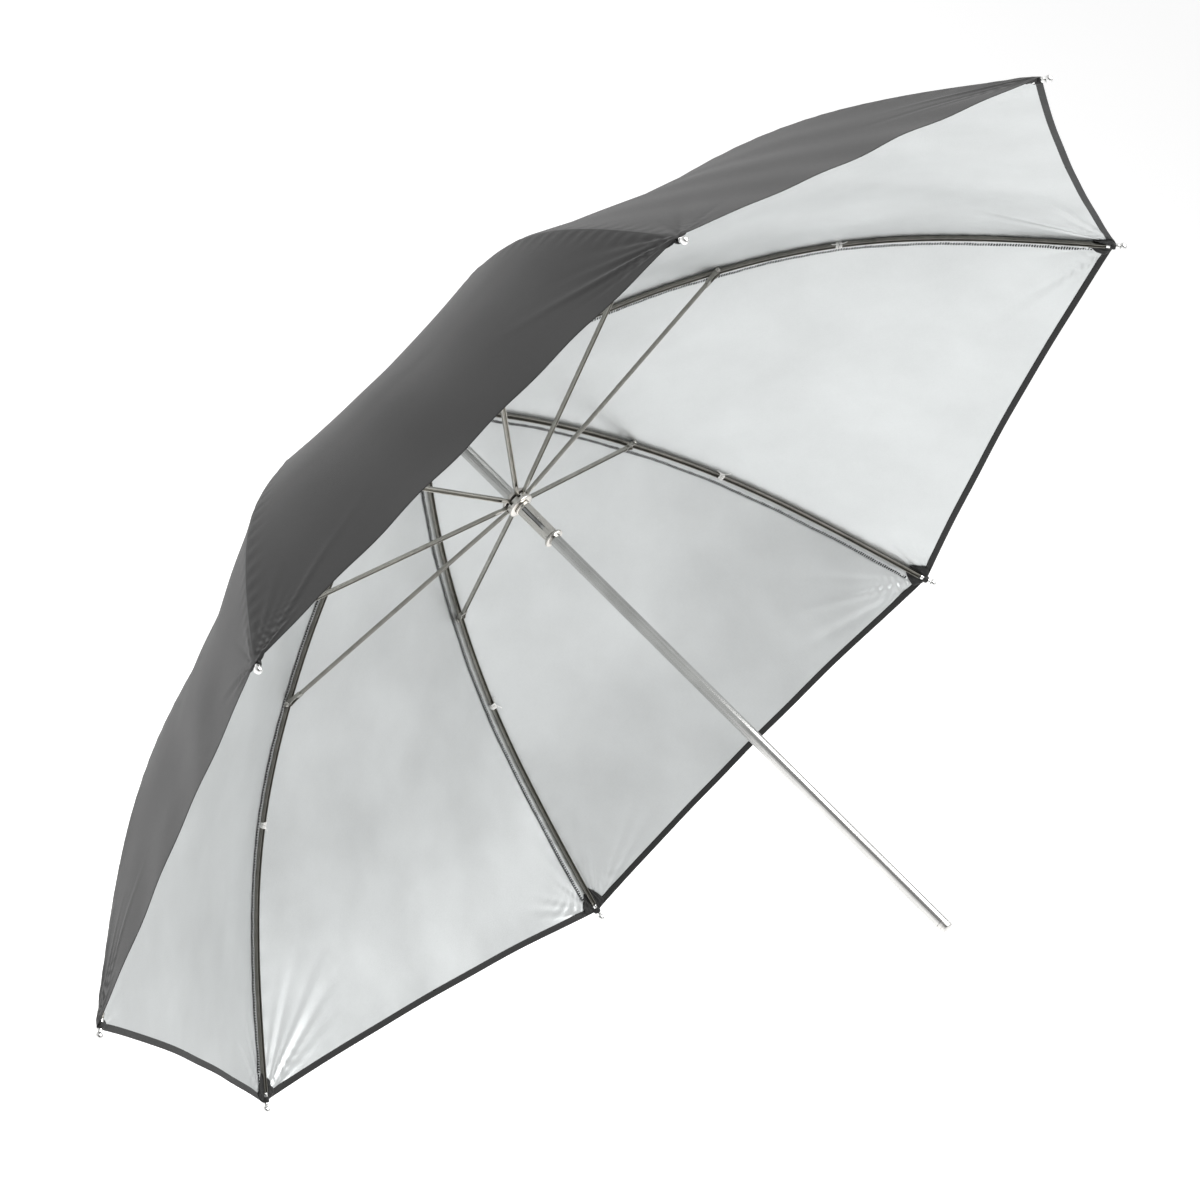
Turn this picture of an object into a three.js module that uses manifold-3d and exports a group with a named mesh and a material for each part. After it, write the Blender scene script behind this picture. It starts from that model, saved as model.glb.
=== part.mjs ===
// Umbrella reflector, 85 cm class, eight ribs, open as it is used.
// Millimetres. The shaft lies level along Y: the apex is at +Y and the bowl opens towards -Y.
// Rib 1 points straight up (+Z) and rib 3 points along +X.
// The origin is on the shaft's axis, where the umbrella holder clamps it.
import * as THREE from 'three';
import { mergeVertices } from 'three/addons/utils/BufferGeometryUtils.js';
import Module from 'manifold-3d';

const wasm = await Module();
wasm.setup();
const { Manifold, Mesh: ManifoldMesh } = wasm;

// ---------------------------------------------------------------- driving dimensions
const RIBS = 8;
const STEP = (2 * Math.PI) / RIBS;
const HALF = STEP / 2;
const AXIAL_SHIFT = 215;      // row Y = a + AXIAL_SHIFT, where a = 0 is the plane of the rib tips

const TIP_R = 425;            // centre of a tip ball, from the shaft's axis
const PIVOT_R = 7.5;          // radius of both pivot wires
const NOTCH_A = 198.9;        // plane of the top notch's wire
const CROWN_A = 111.7;        // plane of the runner's wire when open
const JOINT_R = 211.0;        // rivet between stretcher and rib
const JOINT_A = (NOTCH_A + CROWN_A) / 2;  // level between the wires: the linkage is isosceles

// centreline of an open rib, [radius, axial]
const RIB_LINE = [
  [7.5, 198.9], [45, 196.2], [82, 191.2], [120, 183.8], [160, 173.2], [211, 155.3],
  [250, 138.4], [285, 119.6], [320, 96.0], [352, 69.8], [388, 36.6], [408, 17.0], [425, 0],
];
const RIB_W = 3.2;            // width of the channel, across the rib
const RIB_H = 2.6;            // height of the channel
const RIB_WALL = 0.55;
const RIB_FROM_R = 12.6;      // the channel starts here, and a flat eye goes on to the wire
const TIP_SHANK_R = 1.7;
const TIP_SHANK_L = 9.0;
const TIP_BALL_R = 2.5;

const STRETCHER_W = 3.0;
const STRETCHER_H = 2.2;
const STRETCHER_WALL = 0.55;
const FORK_IN = 8.6;          // the fork's base, measured back from the rivet
const FORK_OUT = 12.2;
const EAR_INNER = 1.95;
const EAR_OUTER = 2.6;
const RIVET_R = 0.75;
const RIVET_HEAD_R = 1.8;
const EYE_R = 1.6;
const EYE_HOLE_R = 0.78;
const TAB_T = 1.2;            // thickness of a flat eye

const SHAFT_R = 4.0;          // 8 mm tube
const SHAFT_BORE_R = 3.4;
const SHAFT_END = -269.6;
const SHAFT_TOP = 207.0;
const CAP_END = -275.0;
const GAP = 0.3;

const CATCH_ANGLE = 6.5 * STEP;   // the catch faces the middle of the gore between ribs 7 and 8
const SLEEVE_R = 4.9;
const SLEEVE_BORE_R = 4.3;
const SLEEVE_FROM = 78.9;
const SLEEVE_TO = 106.2;

const SKIN_T = 1.0;           // stand-in thickness of the fabric
const SKIN_OFF = 3.0;         // fabric's inner face above the rib's centreline
const SKIN_R0 = 5.6;          // hole in the fabric at the apex
const CORNER_R = 421.8;       // fabric corner on the rib
const SCALLOP = 4.0;          // how far the hem draws in at the middle of a gore
const SAG = 4.0;              // how far a gore lies inside the straight line between its ribs
const SEAM_GAP = 0.15;

// ---------------------------------------------------------------- materials
const steel = (name, color, rough) => {
  const m = new THREE.MeshStandardMaterial({ color, roughness: rough, metalness: 1.0 });
  m.name = name;
  return m;
};
const MATERIAL = {
  shaft: steel('shaft', 0xd6d6d4, 0.12),
  nickel: steel('nickel', 0xc4c0b8, 0.25),
  rib: steel('rib', 0x96948a, 0.42),
  wire: steel('wire', 0x4a4844, 0.5),
  tip: steel('tip', 0xd8d8d8, 0.2),
  spring: steel('spring', 0x8e8f90, 0.35),
  cap: new THREE.MeshStandardMaterial({ color: 0xc9c9c7, roughness: 0.3, metalness: 0.6 }),
  washer: new THREE.MeshStandardMaterial({ color: 0x1c1c1d, roughness: 0.7, metalness: 0.0 }),
  fabric: new THREE.MeshStandardMaterial({ color: 0x6b6a68, roughness: 0.6, metalness: 0.1 }),
};

// ---------------------------------------------------------------- curve of a rib
// slope at each knot by finite differences, then cubic pieces in between
const slopes = RIB_LINE.map((p, i) => {
  if (i === 0 || i === RIB_LINE.length - 1) return null;
  const [r0, a0] = RIB_LINE[i - 1], [r1, a1] = p, [r2, a2] = RIB_LINE[i + 1];
  const d0 = (a1 - a0) / (r1 - r0), d1 = (a2 - a1) / (r2 - r1);
  const w0 = r2 - r1, w1 = r1 - r0;
  return (d0 * w0 + d1 * w1) / (w0 + w1);
});
slopes[0] = 2 * (RIB_LINE[1][1] - RIB_LINE[0][1]) / (RIB_LINE[1][0] - RIB_LINE[0][0]) - slopes[1];
{
  const n = RIB_LINE.length - 1;
  slopes[n] = 2 * (RIB_LINE[n][1] - RIB_LINE[n - 1][1]) / (RIB_LINE[n][0] - RIB_LINE[n - 1][0]) - slopes[n - 1];
}
function ribA(r) {
  const n = RIB_LINE.length;
  if (r <= RIB_LINE[0][0]) return RIB_LINE[0][1] + slopes[0] * (r - RIB_LINE[0][0]);
  if (r >= RIB_LINE[n - 1][0]) return RIB_LINE[n - 1][1] + slopes[n - 1] * (r - RIB_LINE[n - 1][0]);
  let i = 0;
  while (i < n - 2 && r > RIB_LINE[i + 1][0]) i += 1;
  const [r0, a0] = RIB_LINE[i], [r1, a1] = RIB_LINE[i + 1];
  const h = r1 - r0, t = (r - r0) / h;
  const h00 = 2 * t ** 3 - 3 * t ** 2 + 1, h10 = t ** 3 - 2 * t ** 2 + t;
  const h01 = -2 * t ** 3 + 3 * t ** 2, h11 = t ** 3 - t ** 2;
  return h00 * a0 + h10 * h * slopes[i] + h01 * a1 + h11 * h * slopes[i + 1];
}
const ribSlope = (r) => (ribA(r + 0.05) - ribA(r - 0.05)) / 0.1;

// ---------------------------------------------------------------- helpers
function clean(geometry) {
  const g = geometry.clone();
  for (const name of Object.keys(g.attributes)) if (name !== 'position') g.deleteAttribute(name);
  g.clearGroups();
  return mergeVertices(g, 1e-4);
}
function toManifold(geometry) {
  const g = clean(geometry);
  return new Manifold(new ManifoldMesh({
    numProp: 3,
    vertProperties: new Float32Array(g.attributes.position.array),
    triVerts: new Uint32Array(g.index.array),
  }));
}
function fromManifold(solid) {
  const m = solid.getMesh();
  const g = new THREE.BufferGeometry();
  const p = new Float32Array((m.vertProperties.length / m.numProp) * 3);
  for (let i = 0; i < p.length / 3; i += 1) {
    for (let c = 0; c < 3; c += 1) p[3 * i + c] = m.vertProperties[m.numProp * i + c];
  }
  g.setAttribute('position', new THREE.BufferAttribute(p, 3));
  g.setIndex(new THREE.BufferAttribute(new Uint32Array(m.triVerts), 1));
  g.computeVertexNormals();
  return g;
}
const union = (...list) => list.map(toManifold).reduce((a, b) => Manifold.union(a, b));
const minus = (solid, ...list) => list.map(toManifold).reduce((a, b) => Manifold.difference(a, b), solid);

// a cylinder across the rib, centred at (r, a) in the plane y = 0
function crossPin(r, a, radius, length, segments = 12) {
  const g = new THREE.CylinderGeometry(radius, radius, length, segments);
  g.translate(r, 0, a);
  return g;
}
// a flat plate of the given outline in the plane of the rib, from y0 to y1
function plate(points, y0, y1) {
  const g = new THREE.ExtrudeGeometry(new THREE.Shape(points.map(([r, a]) => new THREE.Vector2(r, a))),
    { depth: y1 - y0, bevelEnabled: false, steps: 1 });
  g.rotateX(Math.PI / 2);     // x stays, the outline's y becomes z
  g.translate(0, y1, 0);
  return g;
}
// a lathe about the shaft's axis: profile points are [radius, axial]
function lathe(profile, segments) {
  const g = new THREE.LatheGeometry(profile.map(([r, a]) => new THREE.Vector2(r, a)), segments);
  g.rotateX(Math.PI / 2);
  return g;
}
// channel section, open towards +y of the shape
function channel(w, h, wall) {
  const x = w / 2, y = h / 2;
  return new THREE.Shape([
    [-x, -y], [x, -y], [x, y], [x - wall, y], [x - wall, -y + wall], [-x + wall, -y + wall], [-x + wall, y], [-x, y],
  ].map(([a, b]) => new THREE.Vector2(a, b)));
}
const arc = (cr, ca, radius, from, to, n) =>
  Array.from({ length: n + 1 }, (_, i) => {
    const t = from + ((to - from) * i) / n;
    return [cr + radius * Math.cos(t), ca + radius * Math.sin(t)];
  });

// ---------------------------------------------------------------- rib
const tipTangent = new THREE.Vector2(1, ribSlope(TIP_R - 1)).normalize();
const tipAt = (back) => [TIP_R - tipTangent.x * back, ribA(TIP_R) - tipTangent.y * back];
const RIB_TO = tipAt(TIP_BALL_R - 0.5 + TIP_SHANK_L + GAP);

function ribGeometry() {
  const pts = [];
  const n = 48;
  for (let i = 0; i <= n; i += 1) {
    const r = RIB_FROM_R + ((RIB_TO[0] - RIB_FROM_R) * i) / n;
    pts.push(new THREE.Vector3(r, 0, ribA(r)));
  }
  const path = new THREE.CatmullRomCurve3(pts);
  const body = new THREE.ExtrudeGeometry(channel(RIB_W, RIB_H, RIB_WALL), { steps: 13, bevelEnabled: false, extrudePath: path });
  // the flat eye: rounded round the wire, its root inside the channel
  const s = Math.atan(ribSlope(PIVOT_R));
  const root = 16.5;
  const eye = [
    ...arc(PIVOT_R, NOTCH_A, EYE_R, s + Math.PI / 2, s + (3 * Math.PI) / 2, 6),
    [root, ribA(root) - 0.9], [root, ribA(root) - 0.2 + 1.0],
  ];
  const tab = plate(eye, -TAB_T / 2, TAB_T / 2);
  let solid = union(body, tab);
  solid = minus(solid,
    crossPin(PIVOT_R, NOTCH_A, EYE_HOLE_R, 4, 8),
    crossPin(JOINT_R, JOINT_A, RIVET_R + 0.25, 6, 8));
  return fromManifold(solid);
}

// ---------------------------------------------------------------- stretcher
const STRETCH = new THREE.Vector2(JOINT_R - PIVOT_R, JOINT_A - CROWN_A);
const STRETCH_L = STRETCH.length();
const STRETCH_ANGLE = Math.atan2(STRETCH.y, STRETCH.x);
function stretcherGeometry() {
  // built along +x from the runner's wire at the origin, then turned and moved
  const from = 4.2, to = STRETCH_L - FORK_OUT + 0.6;
  const bar = new THREE.ExtrudeGeometry(channel(STRETCHER_W, STRETCHER_H, STRETCHER_WALL), { depth: to - from, bevelEnabled: false, steps: 1 });
  // shape x -> y, shape y -> z (open side away from the fabric), depth -> x
  bar.applyMatrix4(new THREE.Matrix4().makeBasis(new THREE.Vector3(0, 1, 0), new THREE.Vector3(0, 0, 1), new THREE.Vector3(1, 0, 0)));
  bar.rotateX(Math.PI);
  bar.translate(from, 0, 0);
  const eye = plate([...arc(0, 0, EYE_R, Math.PI / 2, (3 * Math.PI) / 2, 6), [9, -0.95], [9, 0.95]], -TAB_T / 2, TAB_T / 2);
  const L = STRETCH_L;
  const base = plate([[L - FORK_OUT, -1.1], [L - FORK_IN, -1.1], [L - FORK_IN, 1.1], [L - FORK_OUT, 1.1]], -EAR_OUTER, EAR_OUTER);
  const earOutline = [[L - FORK_OUT, -1.1], ...arc(L, 0, 1.9, -Math.PI / 2, Math.PI / 2, 6), [L - FORK_OUT, 1.1]];
  const ear1 = plate(earOutline, EAR_INNER, EAR_OUTER);
  const ear2 = plate(earOutline, -EAR_OUTER, -EAR_INNER);
  let solid = union(bar, eye, base, ear1, ear2);
  solid = minus(solid, crossPin(0, 0, EYE_HOLE_R, 4, 8), crossPin(L, 0, RIVET_R + 0.25, 8, 8));
  const g = fromManifold(solid);
  g.rotateY(-STRETCH_ANGLE);
  g.translate(PIVOT_R, 0, CROWN_A);
  return g;
}

// ---------------------------------------------------------------- rivet and tip
function rivetGeometry() {
  const half = EAR_OUTER + 0.3;
  const profile = [
    [0, -half - 0.8], [RIVET_HEAD_R * 0.7, -half - 0.8], [RIVET_HEAD_R, -half], [RIVET_R, -half],
    [RIVET_R, half], [RIVET_HEAD_R, half], [RIVET_HEAD_R * 0.7, half + 0.8], [0, half + 0.8],
  ];
  const g = new THREE.LatheGeometry(profile.map(([r, a]) => new THREE.Vector2(r, a)), 10);
  g.translate(JOINT_R, 0, JOINT_A);
  return g;
}
function tipGeometry() {
  const b = TIP_BALL_R;
  const start = Math.asin((TIP_SHANK_R * 0.62) / b);
  // along +y of the lathe: shank first, then the ball's centre at 0
  const neck = -b * Math.cos(start);
  const profile = [
    [0, -b + 0.5 - TIP_SHANK_L], [TIP_SHANK_R * 0.8, -b + 0.5 - TIP_SHANK_L], [TIP_SHANK_R, -b + 0.5 - TIP_SHANK_L + 0.5],
    [TIP_SHANK_R, neck - 0.5], [TIP_SHANK_R * 0.62, neck - 0.1],
    ...Array.from({ length: 5 }, (_, i) => {
      const t = start + ((Math.PI - start) * (i + 1)) / 5;
      return i === 4 ? [0, b] : [b * Math.sin(t), -b * Math.cos(t)];
    }),
  ];
  const g = new THREE.LatheGeometry(profile.map(([r, a]) => new THREE.Vector2(r, a)), 10);
  // lathe axis +y -> the rib's tangent at the tip
  g.rotateZ(-Math.PI / 2);                                   // +y -> +x
  g.rotateY(-Math.atan2(tipTangent.y, tipTangent.x));
  g.translate(TIP_R, 0, ribA(TIP_R));
  return g;
}

// ---------------------------------------------------------------- fabric
// inner face of the fabric above a rib, at the rib's radius r: [radius, axial]
function skinLine(r, off) {
  const s = ribSlope(Math.max(r, PIVOT_R)), k = Math.hypot(1, s);
  const bump = 2.2 * Math.exp(-((r / 11) ** 2));
  return [r - (s / k) * off * Math.min(1, r / 40), ribA(r) + off / k + bump];
}
// half a gore: from the seam on a rib at y = 0 to the crease half way to the next rib, on the side given
const SKIN_ROWS = [SKIN_R0, 12, 30, 70, 115, 160, 205, 245, 282, 316, 350, 386, CORNER_R];
const SKIN_COLS = [0, 0.3, 0.62, 1];
function gorePoint(r, u, off, side) {
  const across = 1 - (1 - u) ** 2;
  const last = SKIN_ROWS[0], end = CORNER_R - SCALLOP * across;
  const rr = last + ((r - last) * (end - last)) / (CORNER_R - last);
  const [x, a] = skinLine(rr, off);
  // the same point on the next rib
  const nx = x * Math.cos(STEP), ny = x * Math.sin(STEP);
  let px = x + (nx - x) * (u / 2), py = ny * (u / 2), pa = a;
  const sag = SAG * across * Math.sin(Math.min(1, rr / 300) * (Math.PI / 2)) * (rr > 300 ? 1 - 0.75 * ((rr - 300) / 122) : 1);
  const s = ribSlope(Math.max(rr, PIVOT_R)), k = Math.hypot(1, s);
  px += (s / k) * sag * Math.cos(HALF * u);
  py += (s / k) * sag * Math.sin(HALF * u);
  pa -= sag / k;
  // half of the seam gap at either edge
  if (u === 0) py += SEAM_GAP;
  if (u === 1) { px += Math.sin(HALF) * SEAM_GAP; py -= Math.cos(HALF) * SEAM_GAP; }
  return [px, side * py, pa];
}
function goreGeometry(side) {
  const rows = SKIN_ROWS.length, cols = SKIN_COLS.length;
  const pos = [], index = [];
  for (const off of [SKIN_OFF, SKIN_OFF + SKIN_T]) {
    for (const r of SKIN_ROWS) for (const u of SKIN_COLS) pos.push(...gorePoint(r, u, off, side));
  }
  const at = (layer, i, j) => layer * rows * cols + i * cols + j;
  const quad = (a, b, c, d) => {
    if (side > 0) index.push(a, b, c, a, c, d);
    else index.push(a, c, b, a, d, c);
  };
  for (let i = 0; i < rows - 1; i += 1) {
    for (let j = 0; j < cols - 1; j += 1) {
      quad(at(1, i, j), at(1, i + 1, j), at(1, i + 1, j + 1), at(1, i, j + 1));
      quad(at(0, i, j), at(0, i, j + 1), at(0, i + 1, j + 1), at(0, i + 1, j));
    }
    quad(at(0, i, 0), at(0, i + 1, 0), at(1, i + 1, 0), at(1, i, 0));
    quad(at(0, i + 1, cols - 1), at(0, i, cols - 1), at(1, i, cols - 1), at(1, i + 1, cols - 1));
  }
  for (let j = 0; j < cols - 1; j += 1) {
    quad(at(0, 0, j + 1), at(0, 0, j), at(1, 0, j), at(1, 0, j + 1));
    quad(at(0, rows - 1, j), at(0, rows - 1, j + 1), at(1, rows - 1, j + 1), at(1, rows - 1, j));
  }
  const g = new THREE.BufferGeometry();
  g.setAttribute('position', new THREE.Float32BufferAttribute(pos, 3));
  g.setIndex(index);
  g.computeVertexNormals();
  return g;
}

// ---------------------------------------------------------------- shaft and its fittings
function shaftGeometry() {
  const tube = lathe([
    [SHAFT_BORE_R, SHAFT_END], [SHAFT_R, SHAFT_END], [SHAFT_R, SHAFT_TOP], [SHAFT_BORE_R, SHAFT_TOP], [SHAFT_BORE_R, SHAFT_END],
  ], 32);
  // window for the catch, and the stop pin's hole
  const window_ = new THREE.BoxGeometry(4, 2.4, 20);
  window_.translate(4.0, 0, 97);
  window_.rotateZ(CATCH_ANGLE);
  const hole = new THREE.CylinderGeometry(1.0, 1.0, 12, 12);
  hole.rotateZ(CATCH_ANGLE);
  hole.translate(0, 0, 116.4);
  return fromManifold(minus(toManifold(tube), window_, hole));
}
function stopPinGeometry() {
  const g = new THREE.CylinderGeometry(0.8, 0.8, 10.6, 12);
  g.rotateZ(CATCH_ANGLE);
  g.translate(0, 0, 116.4);
  return g;
}
function endCapGeometry() {
  return lathe([
    [0, CAP_END], [3.0, CAP_END], [3.7, CAP_END + 0.3], [4.0, CAP_END + 1.0], [4.0, SHAFT_END - GAP],
    [SHAFT_BORE_R - 0.25, SHAFT_END - GAP], [SHAFT_BORE_R - 0.25, SHAFT_END + 8], [0, SHAFT_END + 8],
  ], 24);
}
// slots for the eyes, one for each rib
function slots(a0, a1, r0) {
  return Array.from({ length: RIBS }, (_, k) => {
    const g = new THREE.BoxGeometry(12 - r0, 2.0, a1 - a0);
    g.translate(r0 + (12 - r0) / 2, 0, (a0 + a1) / 2);
    g.rotateZ(k * STEP);
    return g;
  });
}
function notchGeometry() {
  const a = NOTCH_A;
  const body = lathe([
    [4.25, a - 5.0], [7.6, a - 5.0], [8.5, a - 4.2], [8.5, a - 0.85], [6.7, a - 0.85], [6.7, a + 0.85], [8.5, a + 0.85],
    [8.5, a + 2.6], [7.9, a + 3.1], [4.25, a + 3.1], [4.25, a - 5.0],
  ], 24);
  return fromManifold(minus(toManifold(body), ...slots(a - 7, a + 1.95, 5.4)));
}
function crownGeometry() {
  const a = CROWN_A;
  const body = lathe([
    [4.3, a - 5.2], [8.0, a - 5.2], [8.9, a - 4.6], [8.9, a - 0.85], [6.7, a - 0.85], [6.7, a + 0.85], [8.9, a + 0.85],
    [8.9, a + 2.7], [8.2, a + 3.4], [4.3, a + 3.4], [4.3, a - 5.2],
  ], 24);
  return fromManifold(minus(toManifold(body), ...slots(a - 2.6, a + 6, 5.4)));
}
function wireGeometry(a) {
  const g = new THREE.TorusGeometry(PIVOT_R, 0.45, 5, 32);
  g.translate(0, 0, a);
  return g;
}
function sleeveGeometry() {
  const tube = lathe([
    [SLEEVE_BORE_R, SLEEVE_FROM], [SLEEVE_R, SLEEVE_FROM], [SLEEVE_R, SLEEVE_TO - 1.6], [SLEEVE_R + 0.6, SLEEVE_TO - 1.2],
    [SLEEVE_R + 0.6, SLEEVE_TO], [SLEEVE_BORE_R, SLEEVE_TO], [SLEEVE_BORE_R, SLEEVE_FROM],
  ], 32);
  const slot = new THREE.BoxGeometry(4, 2.6, 19);
  slot.translate(5.2, 0, 94.0);
  slot.rotateZ(CATCH_ANGLE);
  return fromManifold(minus(toManifold(tube), slot));
}
function flangeGeometry() {
  return lathe([
    [SLEEVE_BORE_R, 76.0], [6.3, 76.0], [6.8, 76.4], [6.8, 77.6], [6.3, 78.1], [SLEEVE_BORE_R, SLEEVE_FROM - GAP], [SLEEVE_BORE_R, 76.0],
  ], 32);
}
function washerGeometry() {
  return lathe([[4.3, 204.9], [8.0, 204.9], [8.0, 205.6], [4.3, 205.6], [4.3, 204.9]], 24);
}
function ferruleGeometry() {
  return lathe([
    [0, 207.3], [4.3, 207.3], [4.3, 205.9], [8.4, 205.9], [8.6, 206.6], [7.6, 208.3], [5.4, 209.6], [2.8, 210.4], [0, 210.6],
  ], 24);
}
function catchGeometry() {
  // a bent steel strip: a long leg in the bore, and a nose that stands in the runner's slot
  const outline = [
    [1.7, 62.0], [2.2, 62.0], [2.2, 90.0], [5.5, 102.2], [5.7, 102.9], [2.0, 102.9], [2.0, 102.3], [4.6, 102.2], [1.7, 91.2],
  ];
  const g = plate(outline, -0.8, 0.8);
  g.rotateZ(CATCH_ANGLE);
  return g;
}

// ---------------------------------------------------------------- assembly
const root = new THREE.Group();
// axial -> +Y, rib 1 -> +Z, rib 3 -> +X
const umbrella = new THREE.Group();
umbrella.matrixAutoUpdate = true;
umbrella.quaternion.setFromRotationMatrix(new THREE.Matrix4().makeBasis(
  new THREE.Vector3(0, 0, 1), new THREE.Vector3(1, 0, 0), new THREE.Vector3(0, 1, 0)));
umbrella.position.set(0, AXIAL_SHIFT, 0);
root.add(umbrella);

function add(parent, name, geometry, material) {
  const mesh = new THREE.Mesh(geometry, material);
  mesh.name = name;
  parent.add(mesh);
  return mesh;
}

add(umbrella, 'shaft_tube', shaftGeometry(), MATERIAL.shaft);
add(umbrella, 'shaft_end_cap', endCapGeometry(), MATERIAL.cap);
add(umbrella, 'stop_pin', stopPinGeometry(), MATERIAL.nickel);
add(umbrella, 'catch_spring', catchGeometry(), MATERIAL.spring);
add(umbrella, 'top_notch', notchGeometry(), MATERIAL.nickel);
add(umbrella, 'top_notch_wire', wireGeometry(NOTCH_A), MATERIAL.wire);
add(umbrella, 'apex_washer', washerGeometry(), MATERIAL.washer);
add(umbrella, 'apex_ferrule', ferruleGeometry(), MATERIAL.nickel);
add(umbrella, 'runner_crown', crownGeometry(), MATERIAL.nickel);
add(umbrella, 'runner_crown_wire', wireGeometry(CROWN_A), MATERIAL.wire);
add(umbrella, 'runner_sleeve', sleeveGeometry(), MATERIAL.nickel);
add(umbrella, 'runner_flange', flangeGeometry(), MATERIAL.nickel);

const ribG = ribGeometry(), stretcherG = stretcherGeometry(), rivetG = rivetGeometry(), tipG = tipGeometry();
const goreA = goreGeometry(1), goreB = goreGeometry(-1);
for (let k = 1; k <= RIBS; k += 1) {
  const arm = new THREE.Group();
  arm.rotation.z = (k - 1) * STEP;
  umbrella.add(arm);
  const next = (k % RIBS) + 1, before = ((k + RIBS - 2) % RIBS) + 1;
  add(arm, `rib_${k}`, ribG, MATERIAL.rib);
  add(arm, `rib_tip_${k}`, tipG, MATERIAL.tip);
  add(arm, `rib_rivet_${k}`, rivetG, MATERIAL.nickel);
  add(arm, `stretcher_${k}`, stretcherG, MATERIAL.rib);
  add(arm, `gore_${k}${next}_on_rib_${k}`, goreA, MATERIAL.fabric);
  add(arm, `gore_${before}${k}_on_rib_${k}`, goreB, MATERIAL.fabric);
}

export default root;
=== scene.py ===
import math

import bpy
import numpy as np
from mathutils import Matrix, Vector


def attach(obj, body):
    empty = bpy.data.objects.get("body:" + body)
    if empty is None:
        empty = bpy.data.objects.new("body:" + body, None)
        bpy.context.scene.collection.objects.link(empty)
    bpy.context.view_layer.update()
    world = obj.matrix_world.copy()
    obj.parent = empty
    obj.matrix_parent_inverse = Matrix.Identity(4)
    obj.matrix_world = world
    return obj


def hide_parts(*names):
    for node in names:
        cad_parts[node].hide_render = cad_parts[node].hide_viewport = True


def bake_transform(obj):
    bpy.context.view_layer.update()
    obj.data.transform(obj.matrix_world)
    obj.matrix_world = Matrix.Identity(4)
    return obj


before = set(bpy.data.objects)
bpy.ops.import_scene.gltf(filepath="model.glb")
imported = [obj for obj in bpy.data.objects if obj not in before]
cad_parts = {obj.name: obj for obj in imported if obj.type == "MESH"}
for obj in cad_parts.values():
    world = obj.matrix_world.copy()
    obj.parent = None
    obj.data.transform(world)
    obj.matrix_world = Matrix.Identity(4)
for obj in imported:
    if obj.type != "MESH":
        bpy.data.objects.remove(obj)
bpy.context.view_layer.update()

# Millimetres in (r, y, a) of a rib's plane: r out from the shaft, y along the rim, a along the shaft.
STEP = math.pi / 4
SHIFT = 215.0
PIVOT_R, NOTCH_A, CROWN_A = 7.5, 198.9, 111.7
JOINT_R, JOINT_A = 211.0, 155.3
TIE_R = 284.6
TIP_R = 425.0
CORNER_R, SKIN_R0 = 421.8, 5.6
SCALLOP, SAG = 4.0, 4.0
SKIN_OFF, SKIN_T = 2.05, 0.45     # inner face above the rib's centreline, and the cloth's thickness
HEM_W, HEM_T = 3.2, 0.45          # black hem, folded to the inside
CATCH = 6.5 * STEP

RIB_LINE = np.array([
    [7.5, 198.9], [45, 196.2], [82, 191.2], [120, 183.8], [160, 173.2], [211, 155.3],
    [250, 138.4], [285, 119.6], [320, 96.0], [352, 69.8], [388, 36.6], [408, 17.0], [425, 0]], float)
_d = np.diff(RIB_LINE[:, 1]) / np.diff(RIB_LINE[:, 0])
_h = np.diff(RIB_LINE[:, 0])
_m = np.zeros(len(RIB_LINE))
_m[1:-1] = (_d[:-1] * _h[1:] + _d[1:] * _h[:-1]) / (_h[1:] + _h[:-1])
_m[0] = 2 * _d[0] - _m[1]
_m[-1] = 2 * _d[-1] - _m[-2]


def rib_a(r):
    r = np.asarray(r, float)
    i = np.clip(np.searchsorted(RIB_LINE[:, 0], r, side="right") - 1, 0, len(_h) - 1)
    r0, a0, a1, h = RIB_LINE[i, 0], RIB_LINE[i, 1], RIB_LINE[i + 1, 1], _h[i]
    t = (r - r0) / h
    a = ((2 * t**3 - 3 * t**2 + 1) * a0 + (t**3 - 2 * t**2 + t) * h * _m[i]
         + (-2 * t**3 + 3 * t**2) * a1 + (t**3 - t**2) * h * _m[i + 1])
    a = np.where(r < RIB_LINE[0, 0], RIB_LINE[0, 1] + _m[0] * (r - RIB_LINE[0, 0]), a)
    return np.where(r > RIB_LINE[-1, 0], RIB_LINE[-1, 1] + _m[-1] * (r - RIB_LINE[-1, 0]), a)


def slope(r):
    return (rib_a(np.asarray(r, float) + 0.05) - rib_a(np.asarray(r, float) - 0.05)) / 0.1


_rs = np.linspace(0, 430, 1721)
_ss = np.concatenate([[0], np.cumsum(np.hypot(np.diff(_rs), np.diff(rib_a(_rs))))])


def arc(r):
    return np.interp(r, _rs, _ss)


def at_arc(s):
    return np.interp(s, _ss, _rs)


def rvec(f):
    return np.array([math.sin(f), 0.0, math.cos(f)])


def tvec(f):
    return np.array([math.cos(f), 0.0, -math.sin(f)])


def place(f, p):
    """(r, y, a) in millimetres at the angle f -> metres in the row frame."""
    p = np.asarray(p, float)
    return (p[..., 0:1] * rvec(f) + p[..., 1:2] * tvec(f) + (p[..., 2:3] + SHIFT) * np.array([0, 1.0, 0])) / 1000


# ------------------------------------------------------------------ node materials
def material(name):
    m = bpy.data.materials.new(name)
    m.use_nodes = True
    nt = m.node_tree
    bsdf = nt.nodes["Principled BSDF"]
    return m, nt, bsdf


def node(nt, kind, **props):
    n = nt.nodes.new(kind)
    for k, v in props.items():
        if k.startswith("in_"):
            n.inputs[k[3:].replace("_", " ")].default_value = v
        else:
            setattr(n, k, v)
    return n


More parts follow.
